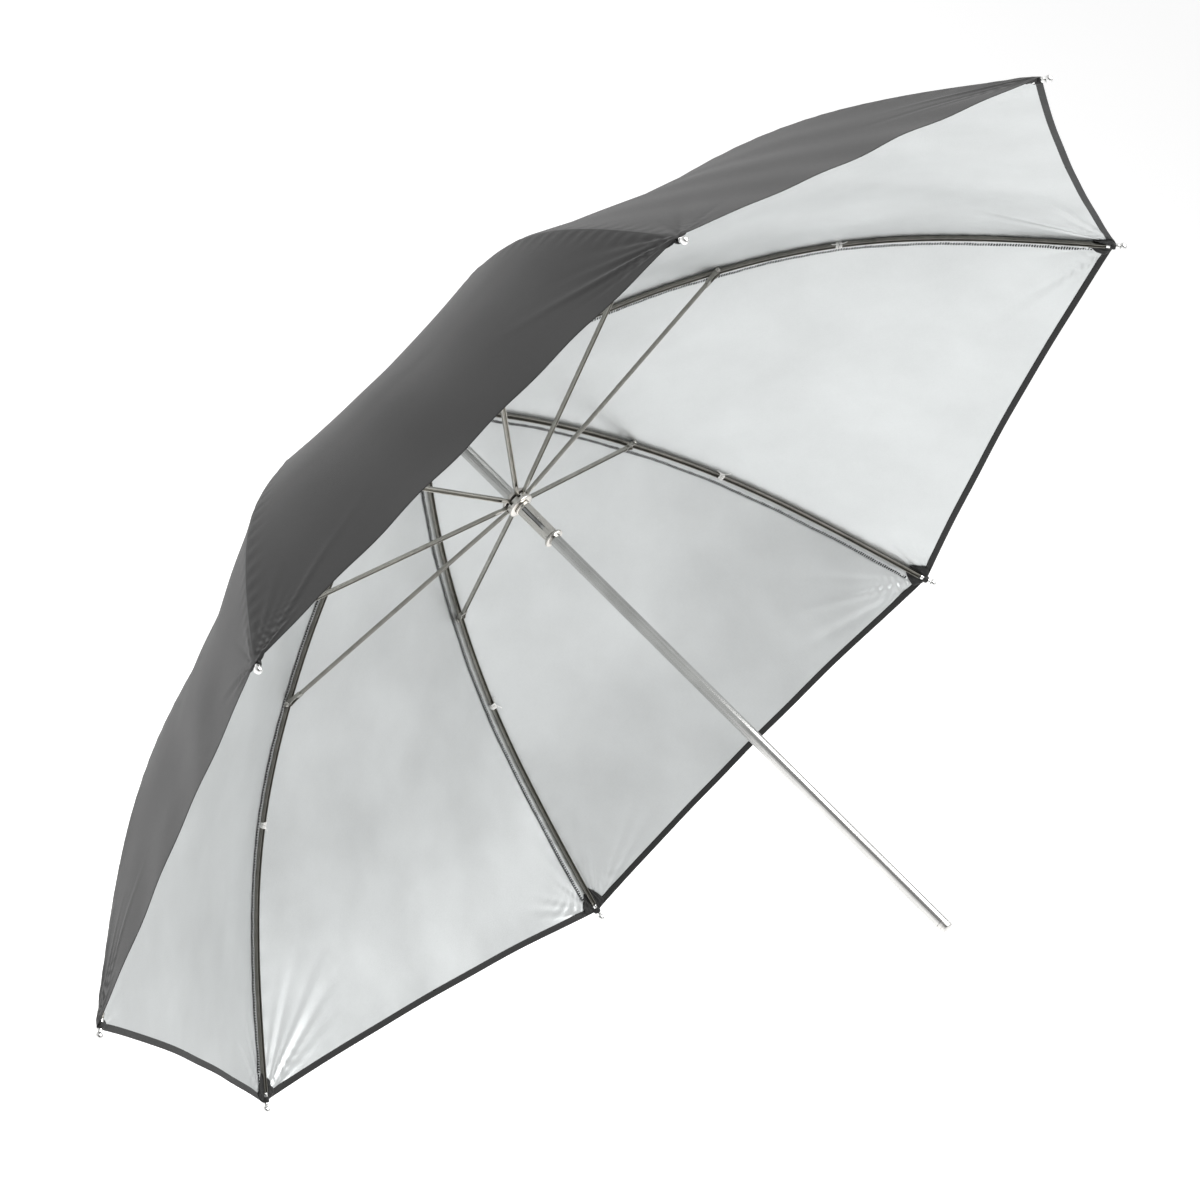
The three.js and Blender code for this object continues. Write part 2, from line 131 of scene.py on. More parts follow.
def coords(nt, scale, source="object", name="cloth"):
    """Object space in metres, or the cloth's own (across, along) in millimetres, stretched by scale."""
    if source == "cloth":
        t = node(nt, "ShaderNodeAttribute", attribute_type="GEOMETRY", attribute_name=name)
        out = t.outputs["Vector"]
    else:
        t = node(nt, "ShaderNodeTexCoord")
        out = t.outputs["Object"]
    mp = node(nt, "ShaderNodeMapping")
    mp.inputs["Scale"].default_value = scale
    nt.links.new(out, mp.inputs["Vector"])
    return mp.outputs["Vector"]


def noise(nt, vec, scale=1.0, detail=2.0, rough=0.5):
    n = node(nt, "ShaderNodeTexNoise")
    n.inputs["Scale"].default_value = scale
    n.inputs["Detail"].default_value = detail
    n.inputs["Roughness"].default_value = rough
    nt.links.new(vec, n.inputs["Vector"])
    return n.outputs["Fac"]


def ramp(nt, fac, stops):
    n = node(nt, "ShaderNodeValToRGB")
    els = n.color_ramp.elements
    while len(els) < len(stops):
        els.new(0.5)
    for e, (pos, col) in zip(els, stops):
        e.position = pos
        e.color = (*col, 1) if len(col) == 3 else col
    nt.links.new(fac, n.inputs["Fac"])
    return n.outputs["Color"]


def math_node(nt, op, a, b):
    n = node(nt, "ShaderNodeMath", operation=op)
    for i, x in enumerate((a, b)):
        if isinstance(x, (int, float)):
            n.inputs[i].default_value = x
        else:
            nt.links.new(x, n.inputs[i])
    return n.outputs[0]


def bump(nt, bsdf, height, strength, distance):
    n = node(nt, "ShaderNodeBump")
    n.inputs["Strength"].default_value = strength
    n.inputs["Distance"].default_value = distance
    nt.links.new(height, n.inputs["Height"])
    nt.links.new(n.outputs["Normal"], bsdf.inputs["Normal"])


def grey(v, tint=(1, 1, 1)):
    return tuple(v * t for t in tint)


def cloth_material(name, dark, light, tint, metallic, rough, sheen, spec, weave, coat=0.0):
    m, nt, b = material(name)
    blotch = noise(nt, coords(nt, (0.016, 0.011, 1), "cloth"), 1.0, 3.0, 0.55)
    warp = noise(nt, coords(nt, (2.6, 0.22, 1), "cloth"), 1.0, 1.0)
    weft = noise(nt, coords(nt, (0.22, 2.6, 1), "cloth"), 1.0, 1.0)
    threads = math_node(nt, "ADD", warp, weft)
    fine = noise(nt, coords(nt, (0.9, 0.9, 1), "cloth"), 1.0, 3.0, 0.6)
    mixed = math_node(nt, "ADD", math_node(nt, "MULTIPLY", blotch, 0.62),
                      math_node(nt, "ADD", math_node(nt, "MULTIPLY", threads, 0.13), math_node(nt, "MULTIPLY", fine, 0.12)))
    colour = ramp(nt, mixed, [(0.34, grey(dark, tint)), (0.66, grey(light, tint))])
    nt.links.new(colour, b.inputs["Base Color"])
    r = node(nt, "ShaderNodeMapRange")
    r.inputs["From Min"].default_value, r.inputs["From Max"].default_value = 0.3, 0.7
    r.inputs["To Min"].default_value, r.inputs["To Max"].default_value = rough - 0.05, rough + 0.06
    nt.links.new(mixed, r.inputs["Value"])
    nt.links.new(r.outputs["Result"], b.inputs["Roughness"])
    b.inputs["Metallic"].default_value = metallic
    b.inputs["Specular IOR Level"].default_value = spec
    b.inputs["Sheen Weight"].default_value = sheen
    b.inputs["Sheen Roughness"].default_value = 0.4
    height = math_node(nt, "ADD", threads, math_node(nt, "MULTIPLY", fine, 0.7))
    bump(nt, b, height, weave, 0.0002)
    return m


def metal_material(name, colour, rough, dark=0.82, stretch=(700, 12, 700), metallic=1.0, depth=0.25, source="object"):
    m, nt, b = material(name)
    lines = noise(nt, coords(nt, stretch, source), 1.0, 3.0, 0.6)
    stain = noise(nt, coords(nt, (38, 38, 38)), 1.0, 3.0, 0.55)
    mixed = math_node(nt, "ADD", math_node(nt, "MULTIPLY", lines, 0.5), math_node(nt, "MULTIPLY", stain, 0.5))
    c = ramp(nt, mixed, [(0.36, tuple(x * dark for x in colour)), (0.62, colour)])
    nt.links.new(c, b.inputs["Base Color"])
    r = node(nt, "ShaderNodeMapRange")
    r.inputs["From Min"].default_value, r.inputs["From Max"].default_value = 0.3, 0.7
    r.inputs["To Min"].default_value, r.inputs["To Max"].default_value = rough * 1.5, rough * 0.8
    nt.links.new(mixed, r.inputs["Value"])
    nt.links.new(r.outputs["Result"], b.inputs["Roughness"])
    b.inputs["Metallic"].default_value = metallic
    bump(nt, b, lines, depth, 0.00015)
    return m


SILVER = cloth_material("silver_cloth", 0.505, 0.605, (0.97, 1.0, 1.0), 0.72, 0.44, 0.08, 0.5, 0.35)
BLACK = cloth_material("black_cloth", 0.013, 0.021, (1.0, 0.99, 0.985), 0.0, 0.60, 0.08, 0.28, 0.35)
HEM = cloth_material("black_hem", 0.006, 0.011, (1.0, 1.0, 0.98), 0.0, 0.62, 0.10, 0.35, 0.5)
THREAD_BLACK = cloth_material("black_thread", 0.006, 0.012, (1.0, 1.0, 1.0), 0.0, 0.7, 0.1, 0.3, 0.6)
THREAD_WHITE = cloth_material("white_thread", 0.62, 0.78, (1.0, 0.99, 0.96), 0.0, 0.7, 0.3, 0.3, 0.6)
CHROME = metal_material("chrome_shaft", (0.64, 0.635, 0.62), 0.15, 0.78, (900, 9, 900))
NICKEL = metal_material("nickel_runner", (0.70, 0.675, 0.635), 0.22, 0.8, (260, 60, 260))
STEEL = metal_material("plated_steel", (0.25, 0.242, 0.218), 0.36, 0.74, (160, 160, 160))
STEEL_LIGHT = metal_material("plated_stretcher", (0.41, 0.40, 0.365), 0.34, 0.78, (160, 160, 160))
RIVET = metal_material("rivet_steel", (0.50, 0.49, 0.455), 0.3, 0.7, (300, 300, 300))
WIRE = metal_material("dark_wire", (0.055, 0.05, 0.045), 0.4, 0.6, (400, 400, 400))
TIP = metal_material("tip_chrome", (0.82, 0.82, 0.81), 0.16, 0.86, (300, 300, 300))
CAP = metal_material("end_cap", (0.66, 0.65, 0.63), 0.22, 0.85, (250, 250, 250))
SPRING = metal_material("spring_steel", (0.42, 0.42, 0.42), 0.3, 0.8, (300, 300, 300))
RUBBER = metal_material("washer_plastic", (0.02, 0.02, 0.02), 0.6, 0.6, (200, 200, 200), 0.0, 0.1)


# ------------------------------------------------------------------ mesh helpers
def build(name, verts, faces, mats, mat_ids=None, smooth=40.0):
    me = bpy.data.meshes.new(name)
    me.from_pydata([tuple(v) for v in verts], [], faces)
    for m in mats:
        me.materials.append(m)
    if mat_ids is not None:
        me.polygons.foreach_set("material_index", np.asarray(mat_ids, np.int32))
    me.validate()
    me.update()
    if smooth:
        me.shade_smooth()
        me.set_sharp_from_angle(angle=math.radians(smooth))
    ob = bpy.data.objects.new(name, me)
    bpy.context.scene.collection.objects.link(ob)
    return ob


class Parts:
    """Collects closed shells for one piece."""

    def __init__(self):
        self.v, self.f, self.m = [], [], []

    def add(self, verts, faces, mat=0):
        k = len(self.v)
        self.v.extend(np.asarray(verts, float).tolist())
        self.f.extend([tuple(int(i) + k for i in f) for f in faces])
        self.m.extend([mat] * len(faces))

    def make(self, name, mats, smooth=40.0):
        return build(name, self.v, self.f, mats, self.m, smooth)


def fix_winding(verts, faces):
    """Turns all the faces of a closed shell round if its volume comes out negative."""
    v = np.asarray(verts, float)
    vol = 0.0
    for f in faces:
        for i in range(1, len(f) - 1):
            vol += float(np.dot(v[f[0]], np.cross(v[f[i]], v[f[i + 1]])))
    return [tuple(reversed(f)) for f in faces] if vol < 0 else faces


def ring_stack(rings, closed_ends=True, loop=False):
    """Skin over rings of equal length, (n, m, 3)."""
    rings = np.asarray(rings, float)
    n, m = rings.shape[:2]
    faces = []
    last = n if loop else n - 1
    for i in range(last):
        j = (i + 1) % n
        for k in range(m):
            l = (k + 1) % m
            faces.append((i * m + k, i * m + l, j * m + l, j * m + k))
    if closed_ends and not loop:
        faces.append(tuple(range(m - 1, -1, -1)))
        faces.append(tuple((n - 1) * m + k for k in range(m)))
    verts = rings.reshape(-1, 3)
    return verts, fix_winding(verts, faces)


def revolve(profile, segs, origin, axis, ref):
    """Profile [radius, along] about an axis. Radius 0 at both ends closes with poles, otherwise the profile is a loop."""
    axis = np.asarray(axis, float) / np.linalg.norm(axis)
    ref = np.asarray(ref, float)
    ref = ref - (ref @ axis) * axis
    ref /= np.linalg.norm(ref)
    other = np.cross(axis, ref)
    origin = np.asarray(origin, float)
    poles = profile[0][0] == 0 and profile[-1][0] == 0
    inner = profile[1:-1] if poles else profile
    ang = np.arange(segs) * 2 * math.pi / segs
    rings = [[origin + axis * z + (ref * math.cos(t) + other * math.sin(t)) * rad for t in ang] for rad, z in inner]
    rings = np.array(rings)
    if not poles:
        return ring_stack(rings, loop=True)
    verts, faces = ring_stack(rings, closed_ends=False)
    verts = np.vstack([verts, origin + axis * profile[0][1], origin + axis * profile[-1][1]])
    a, b, n = len(verts) - 2, len(verts) - 1, len(inner)
    faces = [tuple(f) for f in faces]
    # orient the fans like their neighbours, then check the volume of the whole shell
    f0 = faces[0]
    forward = f0[0] < f0[1]
    for k in range(segs):
        l = (k + 1) % segs
        lo = (l, k, a) if forward else (k, l, a)
        hi0, hi1 = (n - 1) * segs + k, (n - 1) * segs + l
        hi = (hi0, hi1, b) if forward else (hi1, hi0, b)
        faces.append(lo)
        faces.append(hi)
    return verts, fix_winding(verts, faces)


ORIGIN = np.array([0, SHIFT / 1000, 0])
YAXIS = np.array([0, 1.0, 0])


def shaft_lathe(profile, segs=64):
    return revolve([(r / 1000, a / 1000) for r, a in profile], segs, ORIGIN, YAXIS, rvec(CATCH))


def tube_with_window(r_in, r_out, a_list, segs, half, w0, w1):
    """A tube along the shaft with one rectangular window at the catch's angle."""
    base = [2 * math.pi * i / segs for i in range(segs)]
    hw = math.asin(half / r_out)
    ang = sorted([x for x in base if hw * 1.15 < x < 2 * math.pi - hw * 1.15] + [hw, 2 * math.pi - hw, 0.0])
    alist = sorted(set(a_list + [w0, w1]))
    n, m = len(alist), len(ang)
    verts = []
    for rad in (r_out, r_in):
        for a in alist:
            for x in ang:
                verts.append(place(0, rad * 0 + np.array([0, 0, a])) + (rvec(CATCH + x) * rad) / 1000)
    idx = lambda layer, i, j: layer * n * m + i * m + j % m
    gone = lambda i, j: (w0 <= alist[i] and alist[i + 1] <= w1) and (ang[j] < hw - 1e-9 or ang[j] >= 2 * math.pi - hw - 1e-9)
    faces = []
    for i in range(n - 1):
        for j in range(m):
            if gone(i, j):
                continue
            faces.append((idx(0, i, j), idx(0, i, j + 1), idx(0, i + 1, j + 1), idx(0, i + 1, j)))
            faces.append((idx(1, i, j), idx(1, i + 1, j), idx(1, i + 1, j + 1), idx(1, i, j + 1)))
            for (p, q, away) in (((i, j), (i, j + 1), (i - 1, j)), ((i, j + 1), (i + 1, j + 1), (i, j + 1)),
                                 ((i + 1, j + 1), (i + 1, j), (i + 1, j)), ((i + 1, j), (i, j), (i, j - 1))):
                ni, nj = away[0], away[1] % m
                if ni < 0 or ni >= n - 1 or gone(ni, nj):
                    faces.append((idx(0, *p), idx(1, *p), idx(1, *q), idx(0, *q)))
    return verts, fix_winding(verts, faces)


def tube_path(points, radius, sides=6, loop=False, squash=1.0):
    """A round thread or wire along points, in metres."""
    p = np.asarray(points, float)
    n = len(p)
    if loop:
        tan = np.roll(p, -1, 0) - np.roll(p, 1, 0)
    else:
        tan = np.gradient(p, axis=0)
    tan /= np.linalg.norm(tan, axis=1)[:, None]
    up = np.array([0.31, 0.52, 0.79])
    normal = np.cross(tan[0], up)
    normal /= np.linalg.norm(normal)
    rings = []
    for i in range(n):
        normal = normal - (normal @ tan[i]) * tan[i]
        normal /= np.linalg.norm(normal)
        other = np.cross(tan[i], normal)
        rings.append([p[i] + radius * (math.cos(t) * normal + squash * math.sin(t) * other)
                      for t in np.arange(sides) * 2 * math.pi / sides])
    return ring_stack(rings, loop=loop)


def ride(ob, body, slot_name=None, *replaced):
    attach(ob, body)
    if replaced:
        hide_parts(*replaced)
    return ob


# ------------------------------------------------------------------ cloth surface
rows_dense = np.concatenate([
    np.array([SKIN_R0, 7.4, 9.5, 12, 15, 18.5, 22.5, 26.5]), np.arange(31.0, 338, 4.6), np.arange(338.0, CORNER_R - HEM_W - 1.4, 2.7),
    np.array([CORNER_R - HEM_W - 0.8, CORNER_R - HEM_W - 0.15, CORNER_R - HEM_W + 0.35, CORNER_R - 2.2, CORNER_R - 0.8, CORNER_R])])


def base_point(r, v, off):
    """Gore between the rib at angle 0 and the one at STEP, v from 0 to 1 across."""
    ac = 1 - (1 - 2 * v) ** 2
    rr = SKIN_R0 + (r - SKIN_R0) * (CORNER_R - SCALLOP * ac - SKIN_R0) / (CORNER_R - SKIN_R0)
    s = slope(np.maximum(rr, PIVOT_R))
    k = np.hypot(1, s)
    x = rr - (s / k) * off * np.minimum(1, rr / 40)
    a = rib_a(rr) + off / k + 2.2 * np.exp(-((rr / 11) ** 2))
    px = x + (x * math.cos(STEP) - x) * v
    py = x * math.sin(STEP) * v
    sag = SAG * ac * np.sin(np.minimum(1, rr / 300) * (math.pi / 2)) * np.where(rr > 300, 1 - 0.75 * ((rr - 300) / 122), 1.0)
    px = px + (s / k) * sag * np.cos(STEP * v)
    py = py + (s / k) * sag * np.sin(STEP * v)
    a = a - sag / k
    nrm = np.stack([-(s / k) * np.cos(STEP * v), -(s / k) * np.sin(STEP * v), 1 / k + 0 * v], -1)
    return np.stack([px, py, a], -1), nrm, rr


FOLDS = {}
for g in range(8):
    for side in range(2):
        rng = np.random.default_rng(40 + 2 * g + side)
        n = 11
        theta = np.radians(np.linspace(5, 66, n) + rng.uniform(-2.5, 2.5, n))
        amp = rng.uniform(0.7, 1.7, n) * np.where(np.arange(n) % 2 == 0, 1.0, -0.8)
        length = rng.uniform(26, 70, n) * np.where(rng.random(n) > 0.6, 1.75, 1.0)
        FOLDS[g, side] = (theta, amp, length)
WAVES = {}
for g in range(8):
    rng = np.random.default_rng(90 + g)
    WAVES[g] = [(rng.uniform(0, 2 * math.pi), rng.uniform(0, 2 * math.pi), rng.uniform(55, 150), rng.uniform(0.12, 0.34)) for _ in range(7)]


def relief(g, r, v):
    """Height of wrinkles along the normal, in millimetres."""
    p0, _, rr = base_point(r, v, SKIN_OFF)
    p1, _, _ = base_point(r, 1 - v, SKIN_OFF)
    s = arc(rr)
    end = arc(CORNER_R)
    h = np.zeros_like(rr)
    for side, y in ((0, p0[..., 1]), (1, p1[..., 1])):
        back = end - s + 0.4
        d = np.hypot(back, y)
        th = np.arctan2(y, back)
        for t, amp, length in zip(*FOLDS[g, side]):
            across = d * np.sin(th - t)
            env = np.clip(d / 7, 0, 1) ** 1.2 * np.clip(1 - d / length, 0, 1) ** 1.4
            h += amp * env * np.exp(-((across / (0.85 + 0.052 * d)) ** 2)) * np.clip(y / 2.2, 0, 1)
        # puckers drawn in by the seam's stitches
        ph = 2 * math.pi * (s / 15.0 + 0.35 * np.sin(s / 37.0 + g + 2 * side))
        h += 0.20 * np.sin(ph) * np.exp(-((y / 8.5) ** 2)) * (1 - np.exp(-((y / 2.0) ** 2))) * np.clip(rr / 60, 0, 1)
        # groove of the seam, and the dimple over the stretcher's joint
        h -= 0.38 * np.exp(-((y / 1.1) ** 2)) * np.clip(rr / 20, 0, 1)
        h += 0.55 * np.exp(-(((rr - JOINT_R) / 9.0) ** 2) - ((y / 6.0) ** 2)) * np.clip(y / 2, 0, 1)
    across = (v - 0.5) * rr * 0.77
    window = np.sin(math.pi * np.clip(v, 0, 1)) ** 0.7 * np.clip(rr / 90, 0, 1)
    for ang, ph, wl, amp in WAVES[g]:
        h += window * amp * np.sin(2 * math.pi * (across * math.cos(ang) + s * math.sin(ang) * 0.7) / wl + ph)
    # slack along the hem between the corners
    near = np.clip(1 - (end - s) / 42, 0, 1) ** 2
    h += near * 0.55 * np.sin(math.pi * v) * np.sin(2 * math.pi * (3.0 + 0.5 * (g % 3)) * v + g)
    return h


def cloth_point(g, r, v, off):
    p, nrm, rr = base_point(r, v, off)
    return p + nrm * relief(g, r, v)[..., None], rr


def cloth_normal(g, r, v):
    e = 0.25
    ev = 0.25 / np.maximum(r * 0.77, 6)
    a, _ = cloth_point(g, r + e, v, SKIN_OFF)
    b, _ = cloth_point(g, r - e, v, SKIN_OFF)
    v0, v1 = np.clip(v - ev, 0, 1), np.clip(v + ev, 0, 1)
    c, _ = cloth_point(g, r, v1, SKIN_OFF)
    d, _ = cloth_point(g, r, v0, SKIN_OFF)
    n = np.cross(a - b, c - d)
    n /= np.linalg.norm(n, axis=-1)[..., None]
    return n * np.sign(n[..., 2:3] + 1e-9)


def turn(p, f):
    """(r, y, a) vectors of the rib at angle 0 seen from the one at angle f."""
    c, s = math.cos(f), math.sin(f)
    x, y = p[..., 0], p[..., 1]
    return np.stack([x * c + y * s, -x * s + y * c, p[..., 2]], -1)


# The five patches that each half gore is cut into, meeting along their shared edges. A patch corner is
# (distance from the rib's plane, distance along the chord from the top pivot to the tip), in mm.
HINGE_R, HINGE_A = 7.5, 198.9
CHORD = np.array([417.5, -198.9]) / math.hypot(417.5, 198.9)
STRIP_Y, STRIP_RATE = 16.862, 0.019182


def flat_coords(r, v):
    p, _, _ = base_point(r, v, SKIN_OFF)
    return p[..., 1], (p[..., 0] - HINGE_R) * CHORD[0] + (p[..., 2] - HINGE_A) * CHORD[1]


def chord_at(column, y):
    """Chord distance of the crease (column 0.5) or any other column where it is y from the rib's plane."""
    rr = np.linspace(12.0, CORNER_R, 900)
    yy, pp = flat_coords(rr, np.full_like(rr, column))
    return float(np.interp(y, yy, pp))


def hem_chord(y):
    vv = np.linspace(0, 0.5, 400)
    yy, pp = flat_coords(np.full_like(vv, CORNER_R), vv)
    return float(np.interp(y, yy, pp))


A0 = (STRIP_Y, chord_at(0.5, STRIP_Y))
A2 = (STRIP_Y, 326.963)
K2 = (101.39, chord_at(0.5, 101.39))
M3 = (30.0, hem_chord(30.0) + 4.0)


def v_at(r, y):
    """v where the cloth, without wrinkles, is y from the first rib's plane, or 0.5 where it never gets there."""
    lo, hi = np.zeros_like(r), np.full_like(r, 0.5)
    for _ in range(40):
        mid = (lo + hi) / 2
        p, _, _ = base_point(r, mid, SKIN_OFF)
        inside = p[..., 1] < y
        lo, hi = np.where(inside, mid, lo), np.where(inside, hi, mid)
    return (lo + hi) / 2


def first_r(y):
    lo, hi = SKIN_R0, CORNER_R
    for _ in range(50):
        mid = (lo + hi) / 2
        p, _, _ = base_point(np.array([mid]), np.array([0.5]), SKIN_OFF)
        if p[0, 1] < y:
            lo = mid
        else:
            hi = mid
    return (lo + hi) / 2


def v_line(r, c0, c1):
    """v where each row meets the straight line through two patch corners."""
    def sidedness(v):
        y, p = flat_coords(r, v)
        return (c1[0] - c0[0]) * (p - c0[1]) - (c1[1] - c0[1]) * (y - c0[0])
    lo, hi = np.zeros_like(r), np.full_like(r, 0.5)
    at_zero = np.sign(sidedness(lo))
    for _ in range(45):
        mid = (lo + hi) / 2
        same = np.sign(sidedness(mid)) == at_zero
        lo, hi = np.where(same, mid, lo), np.where(same, hi, mid)
    return (lo + hi) / 2


def row_of_corner(corner):
    """Row through a patch corner that lies on the strip's edge."""
    lo, hi = 60.0, CORNER_R
    for _ in range(50):
        mid = (lo + hi) / 2
        r = np.array([mid])
        _, p = flat_coords(r, v_at(r, corner[0]))
        if p[0] < corner[1]:
            lo = mid
        else:
            hi = mid
    return (lo + hi) / 2


ROW_A0, ROW_K2, ROW_A2 = round(first_r(A0[0]), 6), round(first_r(K2[0]), 6), round(row_of_corner(A2), 6)
SPECIAL = [ROW_A0, ROW_K2, ROW_A2]
ALL_ROWS = np.array(sorted(SPECIAL + [x for x in rows_dense if all(abs(x - q) > 1.2 for q in SPECIAL)]))
V_STRIP = v_at(ALL_ROWS, STRIP_Y)
V_A2K2, V_K2M, V_A2M = v_line(ALL_ROWS, A2, K2), v_line(ALL_ROWS, K2, M3), v_line(ALL_ROWS, A2, M3)
V_HALF = np.full_like(ALL_ROWS, 0.5)
END_R = float(ALL_ROWS[-1])
# first row, last row, lower edge, upper edge, closed to a point at the first row, at the last row, columns
PATCHES = [
    (SKIN_R0, END_R, V_HALF * 0, np.minimum(V_STRIP, 0.5), False, False, np.linspace(0, 1, 9)),
    (ROW_A0, ROW_A2, V_STRIP, np.where(ALL_ROWS <= ROW_K2 + 1e-6, 0.5, V_A2K2), True, True, np.linspace(0, 1, 22) ** 1.1),
    (ROW_K2, END_R, np.where(ALL_ROWS <= ROW_A2 + 1e-6, V_A2K2, V_A2M), V_K2M, True, False, np.linspace(0, 1, 15)),
    (ROW_A2, END_R, V_STRIP, V_A2M, True, False, np.linspace(0, 1, 7)),
    (ROW_K2, END_R, V_K2M, V_HALF, True, False, np.linspace(0, 1, 31) ** 1.2),
]


def band_mesh(name, k, side, band):
    """One band of a half gore on rib k. side 1 faces the next rib, -1 the one before."""
    f = (k - 1) * STEP
    g = (k - 1) if side > 0 else (k - 2) % 8
    first, last, low_v, high_v, point_first, point_last, cols = PATCHES[band]
    sel = np.where((ALL_ROWS >= first - 1e-4) & (ALL_ROWS <= last + 1e-4))[0]
    r = ALL_ROWS[sel]
    v0, v1 = low_v[sel], high_v[sel]
    R = np.repeat(r[:, None], len(cols), 1)
    V = v0[:, None] + (v1 - v0)[:, None] * cols[None]
    if point_first:
        V[0, :] = 0.5 if abs(r[0] - ROW_A2) > 1e-3 else v0[0]
    if point_last:
        V[-1, :] = v0[-1]
    if side < 0:
        V = 1 - V
    in_hem = R > CORNER_R - HEM_W + 0.1
    outer, rr = cloth_point(g, R, V, SKIN_OFF + SKIN_T)
    inner, _ = cloth_point(g, R, V, SKIN_OFF)
    inner_hem, _ = cloth_point(g, R, V, SKIN_OFF - HEM_T)
    inner = np.where(in_hem[..., None], inner_hem, inner)
    # the hem's outer edge is rounded
    mid, _ = cloth_point(g, R, V, SKIN_OFF + SKIN_T / 2 - HEM_T / 2)
    edge = (R > CORNER_R - 1e-6)[..., None]
    outer = np.where(edge, 0.45 * outer + 0.55 * mid, outer)
    inner = np.where(edge, 0.45 * inner + 0.55 * mid, inner)
    nrm = cloth_normal(g, R, V)
    if side < 0:
        outer, inner, nrm = (turn(x, STEP) for x in (outer, inner, nrm))
    nf = nrm[..., 0:1] * rvec(f) + nrm[..., 1:2] * tvec(f) + nrm[..., 2:3] * YAXIS
    po, pi = place(f, outer), place(f, inner)
    n, m = R.shape
    across = (V - 0.5) * rr * 0.77 + 700 * g
    along = arc(rr)
    ids, pick, at = np.zeros((n, m), int), [], 0
    for i in range(n):
        if (i == 0 and point_first) or (i == n - 1 and point_last):
            ids[i, :] = at
            pick.append(i * m)
            at += 1
        else:
            ids[i, :] = np.arange(at, at + m)
            pick.extend(range(i * m, i * m + m))
            at += m
    pick = np.array(pick)
    count = len(pick)
    verts = np.vstack([po.reshape(-1, 3)[pick], pi.reshape(-1, 3)[pick]])
    normals = nf.reshape(-1, 3)[pick]
    cloth = np.stack([across, along, np.zeros_like(along)], -1).reshape(-1, 3)[pick]
    faces, mats, kinds = [], [], []

    def quad(a, b, c, d, mat, kind):
        q = []
        for x in (a, b, c, d):
            if x not in q:
                q.append(int(x))
        if len(q) < 3:
            return
        faces.append(tuple(q) if side > 0 else tuple(reversed(q)))
        mats.append(mat)
        kinds.append(kind)

    for i in range(n - 1):
        hem = bool(in_hem[i, 0] or (in_hem[i + 1, 0] and not in_hem[i, 0]))
        for j in range(m - 1):
            a, b, c, d = ids[i, j], ids[i + 1, j], ids[i + 1, j + 1], ids[i, j + 1]
            quad(a, b, c, d, 0, 1)
            quad(a + count, d + count, c + count, b + count, 2 if hem else 1, -1 if not (in_hem[i + 1, 0] != in_hem[i, 0]) else 0)
        quad(ids[i, 0], ids[i, 0] + count, ids[i + 1, 0] + count, ids[i + 1, 0], 0, 0)
        quad(ids[i + 1, m - 1], ids[i + 1, m - 1] + count, ids[i, m - 1] + count, ids[i, m - 1], 0, 0)
    for j in range(m - 1):
        if not point_first:
            quad(ids[0, j + 1], ids[0, j + 1] + count, ids[0, j] + count, ids[0, j], 0, 0)
        if not point_last:
            quad(ids[n - 1, j], ids[n - 1, j] + count, ids[n - 1, j + 1] + count, ids[n - 1, j + 1], 2, 0)
    me = bpy.data.meshes.new(name)
    me.from_pydata(verts.tolist(), [], faces)
    for mt in (BLACK, SILVER, HEM):
        me.materials.append(mt)
    me.polygons.foreach_set("material_index", np.array(mats, np.int32))
    me.polygons.foreach_set("use_smooth", np.ones(len(faces), bool))
    me.update()
    attr = me.attributes.new("cloth", "FLOAT_VECTOR", "POINT")
    attr.data.foreach_set("vector", np.vstack([cloth, cloth + [0, 0, 5]]).astype(np.float32).ravel())
    loops = []
    for poly, kind in zip(faces, kinds):
        for x in poly:
            if kind == 1:
                loops.append(normals[x])
            elif kind == -1:
                loops.append(-normals[x - count])
            else:
                loops.append((0.0, 0.0, 0.0))
    me.normals_split_custom_set([tuple(map(float, x)) for x in loops])
    ob = bpy.data.objects.new(name, me)
    bpy.context.scene.collection.objects.link(ob)
    # flat size of one face of the band
    P = po
    tri = 0.0
    for i in range(n - 1):
        e1 = P[i + 1, :-1] - P[i, :-1]
        e2 = P[i, 1:] - P[i, :-1]
        e3 = P[i + 1, 1:] - P[i, 1:]
        e4 = P[i + 1, 1:] - P[i + 1, :-1]
        tri += 0.5 * (np.linalg.norm(np.cross(e1, e2), axis=1).sum() + np.linalg.norm(np.cross(e3, e4), axis=1).sum())
    width = np.linalg.norm(np.diff(P, axis=1), axis=2).sum(1).max()
    length = max(np.linalg.norm(np.diff(P[:, c], axis=0), axis=1).sum() for c in (0, m // 2, m - 1))
    return ob, float(width), float(length), float(tri)


def half_name(k, side):
    nxt, bef = k % 8 + 1, (k + 6) % 8 + 1
    return f"{k}{nxt}" if side > 0 else f"{bef}{k}"


def bend(ob):
    """Bakes the object's transform into its mesh."""
    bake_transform(ob)
    return ob


# ------------------------------------------------------------------ small soft pieces on each seam
def cloth_attr(ob, scale=1000.0):
    """Gives a small piece cloth coordinates from its place."""
    me = ob.data
    co = np.array([v.co for v in me.vertices], float) * scale
    out = np.stack([co[:, 0] + 0.4 * co[:, 1], co[:, 2] + 0.6 * co[:, 1], co[:, 1] * 0], -1)
    attr = me.attributes.new("cloth", "FLOAT_VECTOR", "POINT")
    attr.data.foreach_set("vector", out.astype(np.float32).ravel())
    return ob


